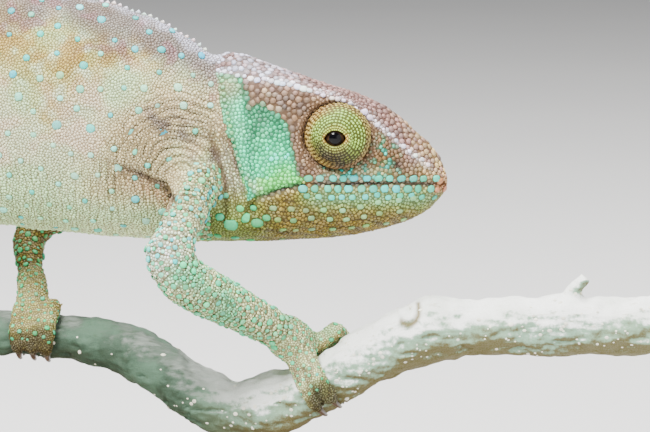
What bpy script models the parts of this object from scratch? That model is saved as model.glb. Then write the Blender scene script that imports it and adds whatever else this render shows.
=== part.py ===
"""A life-size chameleon, most likely a female Parson's chameleon, gripping a cut branch on a display stand.

Shapes are worked out in millimetres in a design frame: +X runs towards the snout, +Y is the animal's
left and +Z is up. Vertices are stored in metres, with the origin at the centre of the stand's underside.
"""

import math

import bmesh
import bpy
from mathutils import Matrix, Vector

MM = 0.001
GAP = 0.35  # clearance between neighbouring pieces

# The stand.
BASE_CENTRE = (-80.0, 10.0)
BASE_SIZE = (250.0, 124.0, 12.0)
BASE_CORNER, BASE_EDGE = 14.0, 1.5
FLOOR = -105.0
ROD_RADIUS = 3.2
ROD_XS = {"stand_rod_front": -24.0, "stand_rod_rear": -147.0}

# The trunk: x, back, belly, half width; then its section: share of the height, share of the width.
TRUNK = ((-178, 31, 15, 8), (-166, 38, 11, 10.5), (-150, 49, 6.5, 13.5), (-128, 59.5, 1.5, 16.5),
         (-104, 64, -2, 18), (-80, 62, -4.5, 17.5), (-60, 58, -6, 16), (-45, 53, -7, 14),
         (-36, 48.2, -7.5, 12.5), (-29.8, 43.8, -7.4, 11.6))
SECTION = ((0.0, 0.0), (0.05, 0.45), (0.16, 0.78), (0.34, 0.97), (0.48, 1.0), (0.68, 0.88),
           (0.86, 0.56), (0.95, 0.3), (1.0, 0.0))
SPINE_Y = ((-190, 21.5), (-160, 18.5), (-110, 10), (-70, 4), (-30, 0), (40, 0))
VENT, TRUNK_PARTING, NECK_BACK, NECK_FRONT = -178.0, -104.0, -39.0, -29.8
BODY_SIDES = 22

# The head's profile curves: x against a height or a half width.
HEAD_BACK, SNOUT = -29.5, 32.8
CROWN = ((-29.5, 43.2), (-25, 44.4), (-13, 40.4), (0, 35.7), (9, 33), (17, 29.4), (24, 23.6),
         (29, 19), (31.6, 14.6), (32.8, 10.4))
CREST = ((-29.5, 39.5), (-21, 37.6), (-10, 36.6), (3, 32.8), (11, 28), (19, 21), (27, 14.6), (32.8, 10.2))
CREST_WIDTH = ((-29.5, 4), (-24, 6.6), (-12, 9.6), (3, 10.2), (12, 8.6), (20, 6.6), (28, 4.6), (32.8, 1.4))
CHEEK = ((-29.5, 20), (0, 19), (15, 15.5), (32.8, 10))
CHEEK_WIDTH = ((-29.5, 11.7), (-17, 13.4), (-5, 12.8), (6, 11.4), (18, 8.9), (27, 6.2), (31.4, 3.6), (32.8, 1.6))
LIP = ((-29.5, 4), (-17, 6), (-4, 8.7), (32.8, 8.7))
LIP_WIDTH = ((-29.5, 11.8), (-17, 13), (-4, 12.7), (8, 10.9), (19, 8.6), (27, 6), (31.4, 3.5), (32.8, 1.5))
JAW_WIDTH = ((-29.5, 10.2), (-17, 10.8), (0, 9.4), (14, 7.2), (24, 4.8), (30, 2.6), (32.8, 0.9))
CHIN = ((-29.5, -7.4), (-14, -7.2), (4, -6.2), (15, -4.2), (24, -1.2), (29, 2.2), (31.6, 5.2), (32.8, 7.6))
HEAD_STATIONS = 23
JAW_OUTLINE = ((36, 8.75), (-4.5, 8.75), (-17, 5.3), (-20, -14), (36, -14))  # x, z

# The eyes: a turret in each socket, with the eyeball behind its opening.
EYE_X, EYE_Y, EYE_Z = 3.3, 9.6, 22.6
SOCKET_RADIUS, SOCKET_FLOOR = 8.9, 8.8
TURRET = ((8.5, -0.4), (8.4, 1.6), (7.7, 3.5), (6.3, 5.3), (4.4, 6.6), (2.5, 7.2), (2.7, 6.5),
          (3.7, 5.2), (3.7, -0.4))  # radius, height
EYEBALL_RADIUS, EYEBALL_HEIGHT = 3.3, 3.7
EYE_SIDES = 16

# The flap of skin behind each cheek: z, rear x, front x.
LOBE = ((5.5, -20, -17.5), (12, -22.4, -18.6), (20, -24.6, -19.4), (30, -26.8, -20.6), (37, -28, -24.4))
LOBE_OFFSET, LOBE_THICKNESS, LOBE_ROWS = 0.5, 1.2, 9

# The branch's centre line by x, its radius, its knots (x, swelling, reach) and a cut twig.
BRANCH = ((-190, 22, -33.5), (-160, 21.5, -33), (-120, 19, -33.4), (-92, 17, -34.2), (-72, 14.5, -35),
          (-56, 10, -37), (-44, 5.5, -42), (-33, 2, -49.6), (-24, 0, -52.6), (-14, -2, -50.4),
          (-3, -4, -46), (8, -5, -38.8), (19, -6, -32.4), (30, -6, -29.4), (60, -6, -28.4), (98, -6, -28.4))
BRANCH_RADIUS = ((-190, 5.4), (-100, 5.7), (-72, 6), (-44, 7.4), (-20, 8), (0, 7.4), (30, 7.9), (98, 7.9))
KNOTS = ((25, 2.0, 4.5), (-15, 0.9, 4), (-108, 0.8, 4), (67, 0.8, 4))
TWIG = ((64, -6, -24), (66.5, -6.4, -18), (69, -7, -15.4))
TWIG_RADIUS = ((0, 2.6), (0.6, 2.2), (1, 1.9))
BRANCH_RINGS, BRANCH_SIDES = 34, 11

# The tail runs back from the vent, then rolls up in a spiral that drifts sideways.
TAIL_LEAD = ((-178.9, 20.6, 23), (-192, 21.4, 22.8), (-206, 21.8, 22.6))
COIL_CENTRE, COIL_START, COIL_TURNS = (-216.0, 22.0, -1.5), 100.0, 1.7
COIL_RADII, COIL_DRIFT = (24.0, 7.4), 5.0
TAIL_RADIUS = ((0, 8), (0.1, 6.9), (0.3, 4.9), (0.6, 3.4), (0.85, 2.1), (1, 0.8))
TAIL_LENGTHS, TAIL_RINGS, TAIL_SIDES = 6, 7, 10

# The legs: root, shoulder or hip, elbow or knee, wrist or ankle; grip_x is the foot's place on the
# branch, and each bundle of toes has a side (1 is the animal's right), a count and a shift along it.
LEGS = {
    "right_fore": {"joints": ((-34, -1, 17), (-35.5, -19, 7), (-43.2, -31.5, -8.8), (-12, -11, -29)),
                   "grip_x": -0.5, "girth": 1.0, "bundles": ((1, 2, -0.5), (-1, 3, 5.5))},
    "left_fore": {"joints": ((-46, 5, 10), (-56, 17, 0), (-82.5, 39.5, -6.5), (-80.4, 22.6, -18.6)),
                  "grip_x": -79.0, "girth": 0.72, "bundles": ((1, 3, 1.5), (-1, 2, -1.0))},
    "right_hind": {"joints": ((-158, 12, 24), (-152, -4, 17), (-128, -19, 4), (-137.3, 11.4, -17)),
                   "grip_x": -140.0, "girth": 1.0, "bundles": ((1, 3, -1.0), (-1, 2, 1.5))},
    "left_hind": {"joints": ((-160, 24, 24), (-164, 38, 16), (-150, 54, 2), (-162.8, 29.7, -16.9)),
                  "grip_x": -167.0, "girth": 0.94, "bundles": ((1, 2, 1.5), (-1, 3, -1.0))},
}
PIECES = {"fore": ("upper_arm", "forearm", "hand"), "hind": ("thigh", "shin", "foot")}
UPPER_RADIUS = ((0, 9.2), (0.45, 7.4), (0.8, 6.6), (1, 6.9))
LOWER_RADIUS = ((0, 6.9), (0.3, 7), (0.7, 6), (1, 5.3))
BEND = 0.5  # how far a bend reaches along the shorter of its two bones
LIMB_SIDES = 9
PALM_RADIUS = ((0, 5.3), (0.5, 6.2), (1, 5.6))
PALM_END = 4.2
LEG_RINGS = (11, 8, 5)
TOE_SPACING, TOE_RINGS, TOE_SIDES = 4.1, 5, 6
TOE_RADIUS = ((0, 2.9), (0.6, 2.7), (0.85, 2.1), (0.9, 1.0), (1, 0.45))
TOE_SWEEP = (6.0, 138.0)  # degrees round the branch, down to the claw's tip


def smooth(table, x):
    """The values at x on curves without overshoot through rows of (x, value, ...)."""
    i = max([k for k in range(len(table) - 1) if table[k][0] <= x], default=0)
    span = table[i + 1][0] - table[i][0]
    t = min(max((x - table[i][0]) / span, 0.0), 1.0)
    values = []
    for column in range(1, len(table[0])):
        slope = [(b[column] - a[column]) / (b[0] - a[0]) for a, b in zip(table, table[1:])]

        def tangent(k):
            if k in (0, len(slope)):
                return slope[min(k, len(slope) - 1)]
            product = slope[k - 1] * slope[k]
            return 2 * product / (slope[k - 1] + slope[k]) if product > 0 else 0.0

        values.append((2 * t**3 - 3 * t**2 + 1) * table[i][column] + (t**3 - 2 * t**2 + t) * span * tangent(i)
                      + (3 * t**2 - 2 * t**3) * table[i + 1][column] + (t**3 - t**2) * span * tangent(i + 1))
    return values[0] if len(values) == 1 else values


def rounded(joints, steps=6):
    """A dense path through joints, each inner one rounded off by an arc."""
    joints = [Vector(j) for j in joints]
    path = [joints[0]]
    for before, corner, after in zip(joints, joints[1:], joints[2:]):
        reach = BEND * min((before - corner).length, (after - corner).length)
        back, on = (before - corner).normalized(), (after - corner).normalized()
        half = back.angle(on) / 2
        centre = corner + (back + on).normalized() * reach / math.cos(half)
        arms = [(corner + direction * reach - centre).normalized() for direction in (back, on)]
        path += [centre + arms[0].slerp(arms[1], k / steps) * reach * math.tan(half) for k in range(steps + 1)]
    return path + [joints[-1]]


def length_of(path):
    return sum((b - a).length for a, b in zip(path, path[1:]))


def along(path, distance):
    """The point at a distance along a path."""
    for a, b in zip(path, path[1:]):
        length = (b - a).length
        if distance <= length:
            return a.lerp(b, distance / length)
        distance -= length
    return path[-1].copy()


def world(point):
    """A design-frame point in the model's metres."""
    return Vector((point[0] - BASE_CENTRE[0], point[1] - BASE_CENTRE[1], point[2] - FLOOR)) * MM


def clear_scene():
    for obj in list(bpy.data.objects):
        bpy.data.objects.remove(obj, do_unlink=True)


def material(name, colour, roughness=0.6, metallic=0.0):
    made = bpy.data.materials.get(name) or bpy.data.materials.new(name)
    made.use_nodes = True
    shader = made.node_tree.nodes["Principled BSDF"]
    shader.inputs["Base Color"].default_value = (*colour, 1.0)
    shader.inputs["Roughness"].default_value = roughness
    shader.inputs["Metallic"].default_value = metallic
    return made


def finish_object(name, bm, finish):
    bmesh.ops.recalc_face_normals(bm, faces=bm.faces)
    mesh = bpy.data.meshes.new(name)
    bm.to_mesh(mesh)
    bm.free()
    mesh.materials.append(finish)
    mesh.shade_smooth()
    mesh.set_sharp_from_angle(angle=math.radians(50))
    obj = bpy.data.objects.new(name, mesh)
    bpy.context.scene.collection.objects.link(obj)
    return obj


def extrude_through(bm, rings):
    """Grows a closed solid by extruding its end face from ring to ring."""
    start = [bm.verts.new(world(p)) for p in rings[0]]
    end = bm.faces.new(start)
    for ring in rings[1:]:
        end = bmesh.ops.extrude_discrete_faces(bm, faces=[end])["faces"][0]
        for vert, point in zip(end.verts, ring):
            vert.co = world(point)
    bm.faces.new(start)


def loft(name, rings, finish):
    bm = bmesh.new()
    extrude_through(bm, rings)
    return finish_object(name, bm, finish)


def tube_rings(path, radii, sides):
    """Round sections at right angles to a path, one for each of its points."""
    rings, side = [], Vector((0.0, 1.0, 0.0))
    for k, (centre, radius) in enumerate(zip(path, radii)):
        tangent = (path[min(k + 1, len(path) - 1)] - path[max(k - 1, 0)]).normalized()
        side = (side - tangent * side.dot(tangent)).normalized()
        up = tangent.cross(side)
        angles = [2 * math.pi * n / sides for n in range(sides)]
        rings.append([centre + (side * math.cos(a) + up * math.sin(a)) * radius for a in angles])
    return rings


def boolean(obj, other, operation, use_self=False):
    """Cuts or joins obj by another object, which becomes a helper that is no part of the model."""
    other.hide_render = True
    other.display_type = "WIRE"
    modifier = obj.modifiers.new(operation.title(), "BOOLEAN")
    modifier.operation = operation
    modifier.solver = "EXACT"
    modifier.use_self = use_self
    modifier.object = other


def mirrored_ring(half):
    """A full section from its right half, listed from the top down."""
    return half + [(x, 2 * half[0][1] - y, z) for x, y, z in reversed(half[1:-1])]


def trunk_half(x, grow=0.0):
    back, belly, width = smooth(TRUNK, x)
    spine, points = smooth(SPINE_Y, x), []
    for k in range(BODY_SIDES // 2 + 1):
        height = (1 + math.cos(2 * math.pi * k / BODY_SIDES)) / 2
        z = belly - grow + (back - belly + 2 * grow) * height
        points.append((x, spine - (width + grow) * smooth(SECTION, height), z))
    return points


def head_half(x, grow=0.0):
    crown, crest, cheek, lip, chin = (smooth(t, x) for t in (CROWN, CREST, CHEEK, LIP, CHIN))
    crest_y, cheek_y, lip_y, jaw_y = (smooth(t, x) for t in (CREST_WIDTH, CHEEK_WIDTH, LIP_WIDTH, JAW_WIDTH))
    keys = ((0, 0.0, crown), (1, crest_y * 0.55, crown * 0.62 + crest * 0.38), (2, crest_y, crest),
            (3, cheek_y, cheek), (4, lip_y, lip), (5, jaw_y, lip * 0.35 + chin * 0.65), (6, 0.0, chin))
    points = []
    for k in range(BODY_SIDES // 2 + 1):
        y, z = smooth(keys, k * 12 / BODY_SIDES)
        points.append((x, -y - (grow if y > 0.1 else 0.0), z + (grow if k == 0 else 0.0)))
    return points


def half_width(x, z):
    """The distance from the midline to the body's side at a place on it."""
    half = trunk_half(x) if x < NECK_FRONT else head_half(x)
    for (_, y0, z0), (_, y1, z1) in zip(half, half[1:]):
        if z1 <= z <= z0:
            return -(y0 + (y1 - y0) * (z0 - z) / max(z0 - z1, 1e-6))
    return -half[-1][1]


def spread(start, end, count):
    return [start + (end - start) * k / (count - 1) for k in range(count)]


def body_cutter(name):
    """The neck, the trunk and the back of the head in one solid, grown by the clearance."""
    rings = [mirrored_ring(trunk_half(x, GAP)) for x in spread(VENT - 4, NECK_FRONT, 26)]
    rings += [mirrored_ring(head_half(x, GAP)) for x in spread(HEAD_BACK, -6.0, 8)]
    return loft(name, rings, material("guide", (0.5, 0.5, 0.5)))


def build_trunk():
    finish = material("trunk_skin", (0.56, 0.52, 0.42))
    spans = {"neck": (NECK_BACK + GAP / 2, NECK_FRONT, 4),
             "trunk_front": (TRUNK_PARTING + GAP / 2, NECK_BACK - GAP / 2, 10),
             "trunk_rear": (VENT, TRUNK_PARTING - GAP / 2, 10)}
    for name, (rear, front, count) in spans.items():
        loft(name, [mirrored_ring(trunk_half(x)) for x in spread(rear, front, count)], finish)


def head_solid(name, finish):
    xs = [SNOUT - (SNOUT - HEAD_BACK) * (1 - s) ** 1.45 for s in spread(0.0, 1.0, HEAD_STATIONS)]
    return loft(name, [mirrored_ring(head_half(x)) for x in xs], finish)


def jaw_prism(name, grow):
    """The outline of the lower jaw, carried through the head from side to side."""
    (x0, z0), (x1, z1), (x2, z2), (x3, z3), (x4, z4) = JAW_OUTLINE
    outline = ((x0, z0 + grow), (x1 - grow / 2, z1 + grow), (x2 - grow, z2 + grow), (x3 - grow, z3), (x4, z4))
    return loft(name, [[(x, y, z) for x, z in outline] for y in (-25, 25)], material("guide", (0.5, 0.5, 0.5)))


def build_head():
    head = head_solid("head", material("head_skin", (0.45, 0.36, 0.25)))
    jaw = head_solid("lower_jaw", material("jaw_skin", (0.32, 0.42, 0.24)))
    boolean(head, jaw_prism("jaw_space", GAP), "DIFFERENCE")
    boolean(jaw, jaw_prism("jaw_keep", 0.0), "INTERSECT")
    for side, label in ((-1, "right"), (1, "left")):
        boolean(head, socket_cutter(label, side), "DIFFERENCE")


def turned(name, profile, side, finish):
    """A solid of revolution on an eye's axis; the profile lists radius and height."""
    bm = bmesh.new()
    at = Vector((EYE_X, side * EYE_Y, EYE_Z))
    verts = [bm.verts.new(world(at + Vector((r, side * h, 0)))) for r, h in profile]
    edges = [bm.edges.new((a, b)) for a, b in zip(verts, verts[1:] + verts[:1])]
    bmesh.ops.spin(bm, geom=edges, cent=world(at), axis=(0, 1, 0), angle=2 * math.pi, steps=EYE_SIDES,
                   use_merge=True)
    return finish_object(name, bm, finish)


def socket_cutter(label, side):
    bm = bmesh.new()
    turn = Matrix.Rotation(math.pi / 2, 4, "X")
    place = Matrix.Translation(world((EYE_X, side * (SOCKET_FLOOR + 10), EYE_Z)))
    bmesh.ops.create_cone(bm, cap_ends=True, segments=EYE_SIDES + 4, radius1=SOCKET_RADIUS * MM,
                          radius2=SOCKET_RADIUS * MM, depth=20 * MM, matrix=place @ turn)
    return finish_object(f"{label}_socket_space", bm, material("guide", (0.5, 0.5, 0.5)))


def build_eyes():
    skin = material("turret_skin", (0.42, 0.44, 0.2))
    ball = material("eyeball", (0.012, 0.009, 0.008), 0.05)
    for side, label in ((-1, "right"), (1, "left")):
        turned(f"{label}_eye_turret", TURRET, side, skin)
        bm = bmesh.new()
        centre = world((EYE_X, side * (EYE_Y + EYEBALL_HEIGHT), EYE_Z))
        bmesh.ops.create_uvsphere(bm, u_segments=12, v_segments=7, radius=EYEBALL_RADIUS * MM,
                                  matrix=Matrix.Translation(centre))
        finish_object(f"{label}_eye", bm, ball)


def build_lobes():
    finish = material("lobe_skin", (0.34, 0.66, 0.5))
    for side, label in ((-1, "right"), (1, "left")):
        rings = []
        for z in spread(LOBE[0][0], LOBE[-1][0], LOBE_ROWS):
            rear, front = smooth(LOBE, z)
            xs = spread(front, rear, 4)
            inner = [(x, side * (half_width(x, z) + LOBE_OFFSET), z) for x in xs]
            outer = [(x, y + side * LOBE_THICKNESS, z) for x, y, z in reversed(inner)]
            rings.append(inner + outer)
        loft(f"{label}_occipital_lobe", rings, finish)


def branch_centre(x):
    return Vector((x, *smooth(BRANCH, x)))


def branch_frame(x):
    """The branch's centre, direction, upward and rightward directions, and radius at x."""
    tangent = (branch_centre(x + 0.5) - branch_centre(x - 0.5)).normalized()
    up = (Vector((0, 0, 1)) - tangent * tangent.z).normalized()
    radius = smooth(BRANCH_RADIUS, x)
    radius += sum(swell * math.exp(-(((x - at) / reach) ** 2)) for at, swell, reach in KNOTS)
    return branch_centre(x), tangent, up, tangent.cross(up), radius


def branch_solid(name, grow, finish):
    rings = []
    for x in spread(BRANCH[0][0], BRANCH[-1][0], BRANCH_RINGS):
        centre, _, up, side, radius = branch_frame(x)
        angles = [2 * math.pi * (k + 0.5) / BRANCH_SIDES for k in range(BRANCH_SIDES)]
        rings.append([centre + (up * math.cos(a) + side * math.sin(a)) * (radius + grow) for a in angles])
    return loft(name, rings, finish)


def build_branch():
    wood = material("branch_bark", (0.55, 0.62, 0.52), 0.75)
    branch = branch_solid("perch_branch", 0.0, wood)
    path = rounded(TWIG, 3)
    radii = [smooth(TWIG_RADIUS, k / (len(path) - 1)) for k in range(len(path))]
    boolean(branch, loft("twig", tube_rings(path, radii, 8), wood), "UNION")


def build_stand():
    wood = material("stand_wood", (0.09, 0.05, 0.03), 0.45)
    steel = material("stand_steel", (0.5, 0.5, 0.5), 0.35, 1.0)
    bm = bmesh.new()
    size = Vector(BASE_SIZE) * MM
    bmesh.ops.create_cube(bm, size=1.0, matrix=Matrix.Translation((0, 0, size.z / 2)) @ Matrix.Diagonal((*size, 1)))
    upright = [e for e in bm.edges if abs(e.verts[0].co.z - e.verts[1].co.z) > size.z / 2]
    bmesh.ops.bevel(bm, geom=upright, offset=BASE_CORNER * MM, segments=5, profile=0.5, affect="EDGES",
                    material=-1)
    rim = [e for e in bm.edges if min(v.co.z for v in e.verts) > size.z * 0.99]
    bmesh.ops.bevel(bm, geom=rim, offset=BASE_EDGE * MM, segments=2, profile=0.5, affect="EDGES", material=-1)
    finish_object("stand_base", bm, wood)
    for name, x in ROD_XS.items():
        foot = FLOOR + BASE_SIZE[2] + GAP
        centre = branch_centre(x)
        bm = bmesh.new()
        place = Matrix.Translation(world((x, centre.y, (foot + centre.z) / 2)))
        bmesh.ops.create_cone(bm, cap_ends=True, segments=16, radius1=ROD_RADIUS * MM, radius2=ROD_RADIUS * MM,
                              depth=(centre.z - foot) * MM, matrix=place)
        rod = finish_object(name, bm, steel)
        boolean(rod, branch_solid(f"{name}_space", GAP, wood), "DIFFERENCE")


def tail_path():
    """Points from the vent to the tail's tip, evenly spaced."""
    path = [Vector(p) for p in TAIL_LEAD]
    for k in range(81):
        share = k / 80
        angle = math.radians(COIL_START + 360 * COIL_TURNS * share)
        radius = COIL_RADII[0] + (COIL_RADII[1] - COIL_RADII[0]) * share
        path.append(Vector(COIL_CENTRE) + Vector((radius * math.cos(angle), -COIL_DRIFT * share,
                                                  radius * math.sin(angle))))
    count = TAIL_LENGTHS * (TAIL_RINGS - 1) + 1
    return [along(path, d) for d in spread(0.0, length_of(path), count)]


def build_tail():
    finish = material("tail_skin", (0.5, 0.5, 0.38))
    path = tail_path()
    radii = [smooth(TAIL_RADIUS, k / (len(path) - 1)) for k in range(len(path))]
    rings = tube_rings(path, radii, TAIL_SIDES)
    step = TAIL_RINGS - 1
    for n in range(TAIL_LENGTHS):
        piece = rings[n * step:(n + 1) * step + 1]
        if n:
            travel = (path[n * step + 1] - path[n * step - 1]).normalized() * GAP
            piece[0] = [point + travel for point in piece[0]]
        loft(f"tail_{n + 1}", piece, finish)


def leg_rings(joints, crown, girth):
    """Sections along a whole leg, and the indices of those at its elbow or knee and its wrist or ankle."""
    path = rounded((*joints, crown))
    marks = [0.0, length_of(path[:12]), length_of(path[:19]), length_of(path)]
    distances, radii = [0.0], [UPPER_RADIUS[0][1]]
    for table, start, end, count in zip((UPPER_RADIUS, LOWER_RADIUS, PALM_RADIUS), marks, marks[1:], LEG_RINGS):
        distances += spread(start, end, count)[1:]
        radii += [smooth(table, share) for share in spread(0.0, 1.0, count)[1:]]
    centres = [along(path, distance) for distance in distances]
    centres.append(centres[-1] * 2 - centres[-2])
    elbow = LEG_RINGS[0] - 1
    radii = [radius * girth for radius in (*radii, PALM_END)]
    return tube_rings(centres, radii, LIMB_SIDES), centres, elbow, elbow + LEG_RINGS[1] - 1


def moved(rings, centres, index):
    """The sections from an index onwards, with the first one moved on by the clearance."""
    travel = (centres[index + 1] - centres[index - 1]).normalized() * GAP
    return [[point + travel for point in rings[index]]] + rings[index + 1:]


def toe(bm, frame, side):
    """A toe that lies against the branch, from the palm round to the tip of its claw."""
    centre, _, up, right, radius = frame
    path, radii = [], []
    for share in spread(0.0, 1.0, TOE_RINGS):
        angle = math.radians(TOE_SWEEP[0] + (TOE_SWEEP[1] - TOE_SWEEP[0]) * share)
        thick = smooth(TOE_RADIUS, share)
        outward = up * math.cos(angle) + right * side * math.sin(angle)
        path.append(centre + outward * (radius + GAP + max(thick, 0.8)))
        radii.append(thick)
    extrude_through(bm, tube_rings(path, radii, TOE_SIDES))


def build_leg(details, upper_name, lower_name, foot_name, finish):
    x = details["grip_x"]
    centre, tangent, up, _, radius = branch_frame(x)
    crown = centre + up * (radius + 4.6)
    rings, centres, elbow, wrist = leg_rings(details["joints"], crown, details["girth"])
    upper = loft(upper_name, rings[:elbow + 1], finish)
    boolean(upper, body_cutter(f"{upper_name}_root_space"), "DIFFERENCE")
    loft(lower_name, moved(rings[:wrist + 1], centres, elbow), finish)
    foot = loft(foot_name, moved(rings, centres, wrist), finish)
    bm = bmesh.new()
    for side, count, shift in details["bundles"]:
        for n in range(count):
            step = shift + (n - (count - 1) / 2) * TOE_SPACING
            toe(bm, branch_frame(x + step * tangent.x), side)
    boolean(foot, finish_object(f"{foot_name}_toes", bm, finish), "UNION", use_self=True)
    boolean(foot, branch_solid(f"{foot_name}_branch_space", GAP, finish), "DIFFERENCE")


def build_legs():
    finish = material("limb_skin", (0.48, 0.56, 0.42))
    for leg, details in LEGS.items():
        side, pair = leg.split("_")
        build_leg(details, *(f"{side}_{piece}" for piece in PIECES[pair]), finish)


def main():
    clear_scene()
    build_head()
    build_eyes()
    build_lobes()
    build_trunk()
    build_tail()
    build_branch()
    build_stand()
    build_legs()


main()
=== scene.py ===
import math

import bmesh
import bpy
import numpy as np
from mathutils import Matrix, Vector, noise
from mathutils.bvhtree import BVHTree
from mathutils.kdtree import KDTree


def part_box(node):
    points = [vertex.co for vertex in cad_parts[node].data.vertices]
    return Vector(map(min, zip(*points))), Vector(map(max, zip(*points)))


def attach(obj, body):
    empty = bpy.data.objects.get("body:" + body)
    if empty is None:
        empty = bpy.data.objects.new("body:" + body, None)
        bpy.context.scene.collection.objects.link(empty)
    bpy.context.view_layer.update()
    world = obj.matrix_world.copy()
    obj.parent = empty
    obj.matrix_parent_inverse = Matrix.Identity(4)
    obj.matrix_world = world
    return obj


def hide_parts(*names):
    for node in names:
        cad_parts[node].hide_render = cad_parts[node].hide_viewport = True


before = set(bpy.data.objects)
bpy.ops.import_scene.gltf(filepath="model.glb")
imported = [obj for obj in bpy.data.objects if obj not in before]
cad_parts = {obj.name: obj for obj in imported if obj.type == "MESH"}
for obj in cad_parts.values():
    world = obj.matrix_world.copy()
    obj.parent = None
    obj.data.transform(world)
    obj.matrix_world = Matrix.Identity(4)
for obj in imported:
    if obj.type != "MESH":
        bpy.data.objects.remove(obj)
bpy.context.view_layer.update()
dice = np.random.default_rng(7)
mm = 0.001

# Places are given in mm from the middle of the right eye: x forwards, y to the left, z up.
turretLow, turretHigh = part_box("right_eye_turret")
headLow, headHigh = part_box("head")
eyeAt = np.array([(turretLow.x + turretHigh.x) / 2, (headLow.y + headHigh.y) / 2,
                  (turretLow.z + turretHigh.z) / 2])


def toLocal(points):
    return (np.asarray(points, float) - eyeAt) / mm


def toWorld(points):
    return np.asarray(points, float) * mm + eyeAt


def smoothStep(low, high, value):
    t = np.clip((value - low) / (high - low), 0, 1)
    return t * t * (3 - 2 * t)


def hump(value, centre, width):
    return np.exp(-((value - centre) / width) ** 2)


def cloud(points, size, seed=0.0):
    # soft random values of about -1 to 1, from points in mm
    shift = Vector((seed * 17.3, seed * 5.1, seed * 9.7))
    return np.array([noise.noise(Vector(p) / size + shift) for p in points]) * 1.6


def toLinear(rgb, vivid=1.0):
    c = np.clip(np.asarray(rgb, float) / 255, 0.004, 1)
    c = np.where(c <= 0.04045, c / 12.92, ((c + 0.055) / 1.055) ** 2.4)
    strongest = c.max(-1, keepdims=True)
    return strongest * (c / strongest) ** vivid


def awayFrom(line, x, z):
    # distance in the side view from points to a broken line
    best = np.full(len(x), 1e9)
    for (x0, z0), (x1, z1) in zip(line, line[1:]):
        dx, dz = x1 - x0, z1 - z0
        t = np.clip(((x - x0) * dx + (z - z0) * dz) / (dx * dx + dz * dz), 0, 1)
        best = np.minimum(best, np.hypot(x - x0 - t * dx, z - z0 - t * dz))
    return best


def within(outline, x, z, soft):
    # 1 inside an outline in the side view, fading to 0 across its edge
    inside = np.zeros(len(x), bool)
    for (x0, z0), (x1, z1) in zip(outline, outline[1:] + outline[:1]):
        crosses = (z0 > z) != (z1 > z)
        inside ^= crosses & (x < (x1 - x0) * (z - z0) / ((z1 - z0) or 1e-9) + x0)
    edge = awayFrom(outline + outline[:1], x, z)
    return smoothStep(-soft, soft, np.where(inside, edge, -edge))


def raised(line, rise):
    return [(x, z + rise) for x, z in line]


def nearLine(line, x, z, width):
    # 1 on a broken line in the side view, fading to 0 beyond its width
    return hump(awayFrom(line, x, z), 0, width)


def nearSpot(at, x, z, size, squeeze=1.0):
    # 1 at a place in the side view, fading to 0 beyond its size
    return hump(np.hypot(x - at[0], (z - at[1]) * squeeze), 0, size)


def readTable(table, place):
    # the value at a place, between the rows of a table of places and values
    return np.interp(place, *zip(*table))


def unit(vectors):
    return vectors / np.linalg.norm(vectors, axis=1)[:, None]


def lengthsAlong(points):
    # how far along a line each of its points lies
    return np.concatenate([[0], np.cumsum(np.linalg.norm(np.diff(points, axis=0), axis=1))])


class Shade:
    # a shader socket, or with no socket the place where a material's nodes are made
    def __init__(self, tree, socket=None):
        self.tree, self.socket = tree, socket

    def node(self, kind, settings=None, inputs=None, out=0):
        made = self.tree.nodes.new(kind)
        for name, value in (settings or {}).items():
            setattr(made, name, value)
        for name, value in (inputs or {}).items():
            if isinstance(value, Shade):
                self.tree.links.new(value.socket, made.inputs[name])
            elif value is not None:
                made.inputs[name].default_value = value
        return Shade(self.tree, made.outputs[out] if len(made.outputs) else None)

    def maths(self, operation, first, second=None):
        return self.node("ShaderNodeMath", {"operation": operation}, {0: first, 1: second})

    def __add__(self, other):
        return self.maths("ADD", self, other)

    def __sub__(self, other):
        return self.maths("SUBTRACT", self, other)

    def __rsub__(self, other):
        return self.maths("SUBTRACT", other, self)

    def __mul__(self, other):
        return self.maths("MULTIPLY", self, other)

    __radd__, __rmul__ = __add__, __mul__

    def ramp(self, low, high):
        return self.node("ShaderNodeMapRange", {"interpolation_type": "SMOOTHSTEP"},
                         {"Value": self, "From Min": low, "From Max": high})

    def blend(self, kind, share, first, second):
        first, second = ((*c, 1) if isinstance(c, tuple) else c for c in (first, second))
        return self.node("ShaderNodeMix", {"data_type": "RGBA", "blend_type": kind},
                         {0: share, 6: first, 7: second}, 2)

    def mix(self, first, second):
        return self.blend("MIX", self, first, second)

    def tinted(self, colour, tint):
        return self.blend("MULTIPLY", 1.0, colour, tint)

    def noise(self, scale, detail=2, vector=None, roughness=0.5):
        return self.node("ShaderNodeTexNoise", None, {"Vector": vector, "Scale": scale, "Detail": detail,
                                                      "Roughness": roughness})

    def attribute(self, name, out="Fac"):
        return self.node("ShaderNodeAttribute", {"attribute_name": name}, None, out)

    def place(self):
        return self.node("ShaderNodeTexCoord", None, None, "Object")

    def stretched(self, scale):
        # this place with each axis scaled, so that a pattern on it is drawn out
        return self.node("ShaderNodeMapping", None, {"Vector": self, "Scale": scale})


def newMaterial(name):
    made = bpy.data.materials.new(name)
    made.use_nodes = True
    made.node_tree.nodes.clear()
    return made, Shade(made.node_tree)


def finishMaterial(made, shade, sockets, bumpHeight=None, bumpDepth=0.1):
    if bumpHeight is not None:
        bump = {"Height": bumpHeight, "Distance": bumpDepth * mm, "Strength": 1.0}
        sockets["Normal"] = shade.node("ShaderNodeBump", None, bump)
    shader = shade.node("ShaderNodeBsdfPrincipled", None, sockets)
    shade.node("ShaderNodeOutputMaterial", None, {"Surface": shader})
    return made


def giveMaterial(mesh, material):
    mesh.materials.clear()
    mesh.materials.append(material)


def addObject(name, mesh, material=None):
    made = bpy.data.objects.new(name, mesh)
    bpy.context.scene.collection.objects.link(made)
    if material:
        giveMaterial(mesh, material)
    return made


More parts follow.
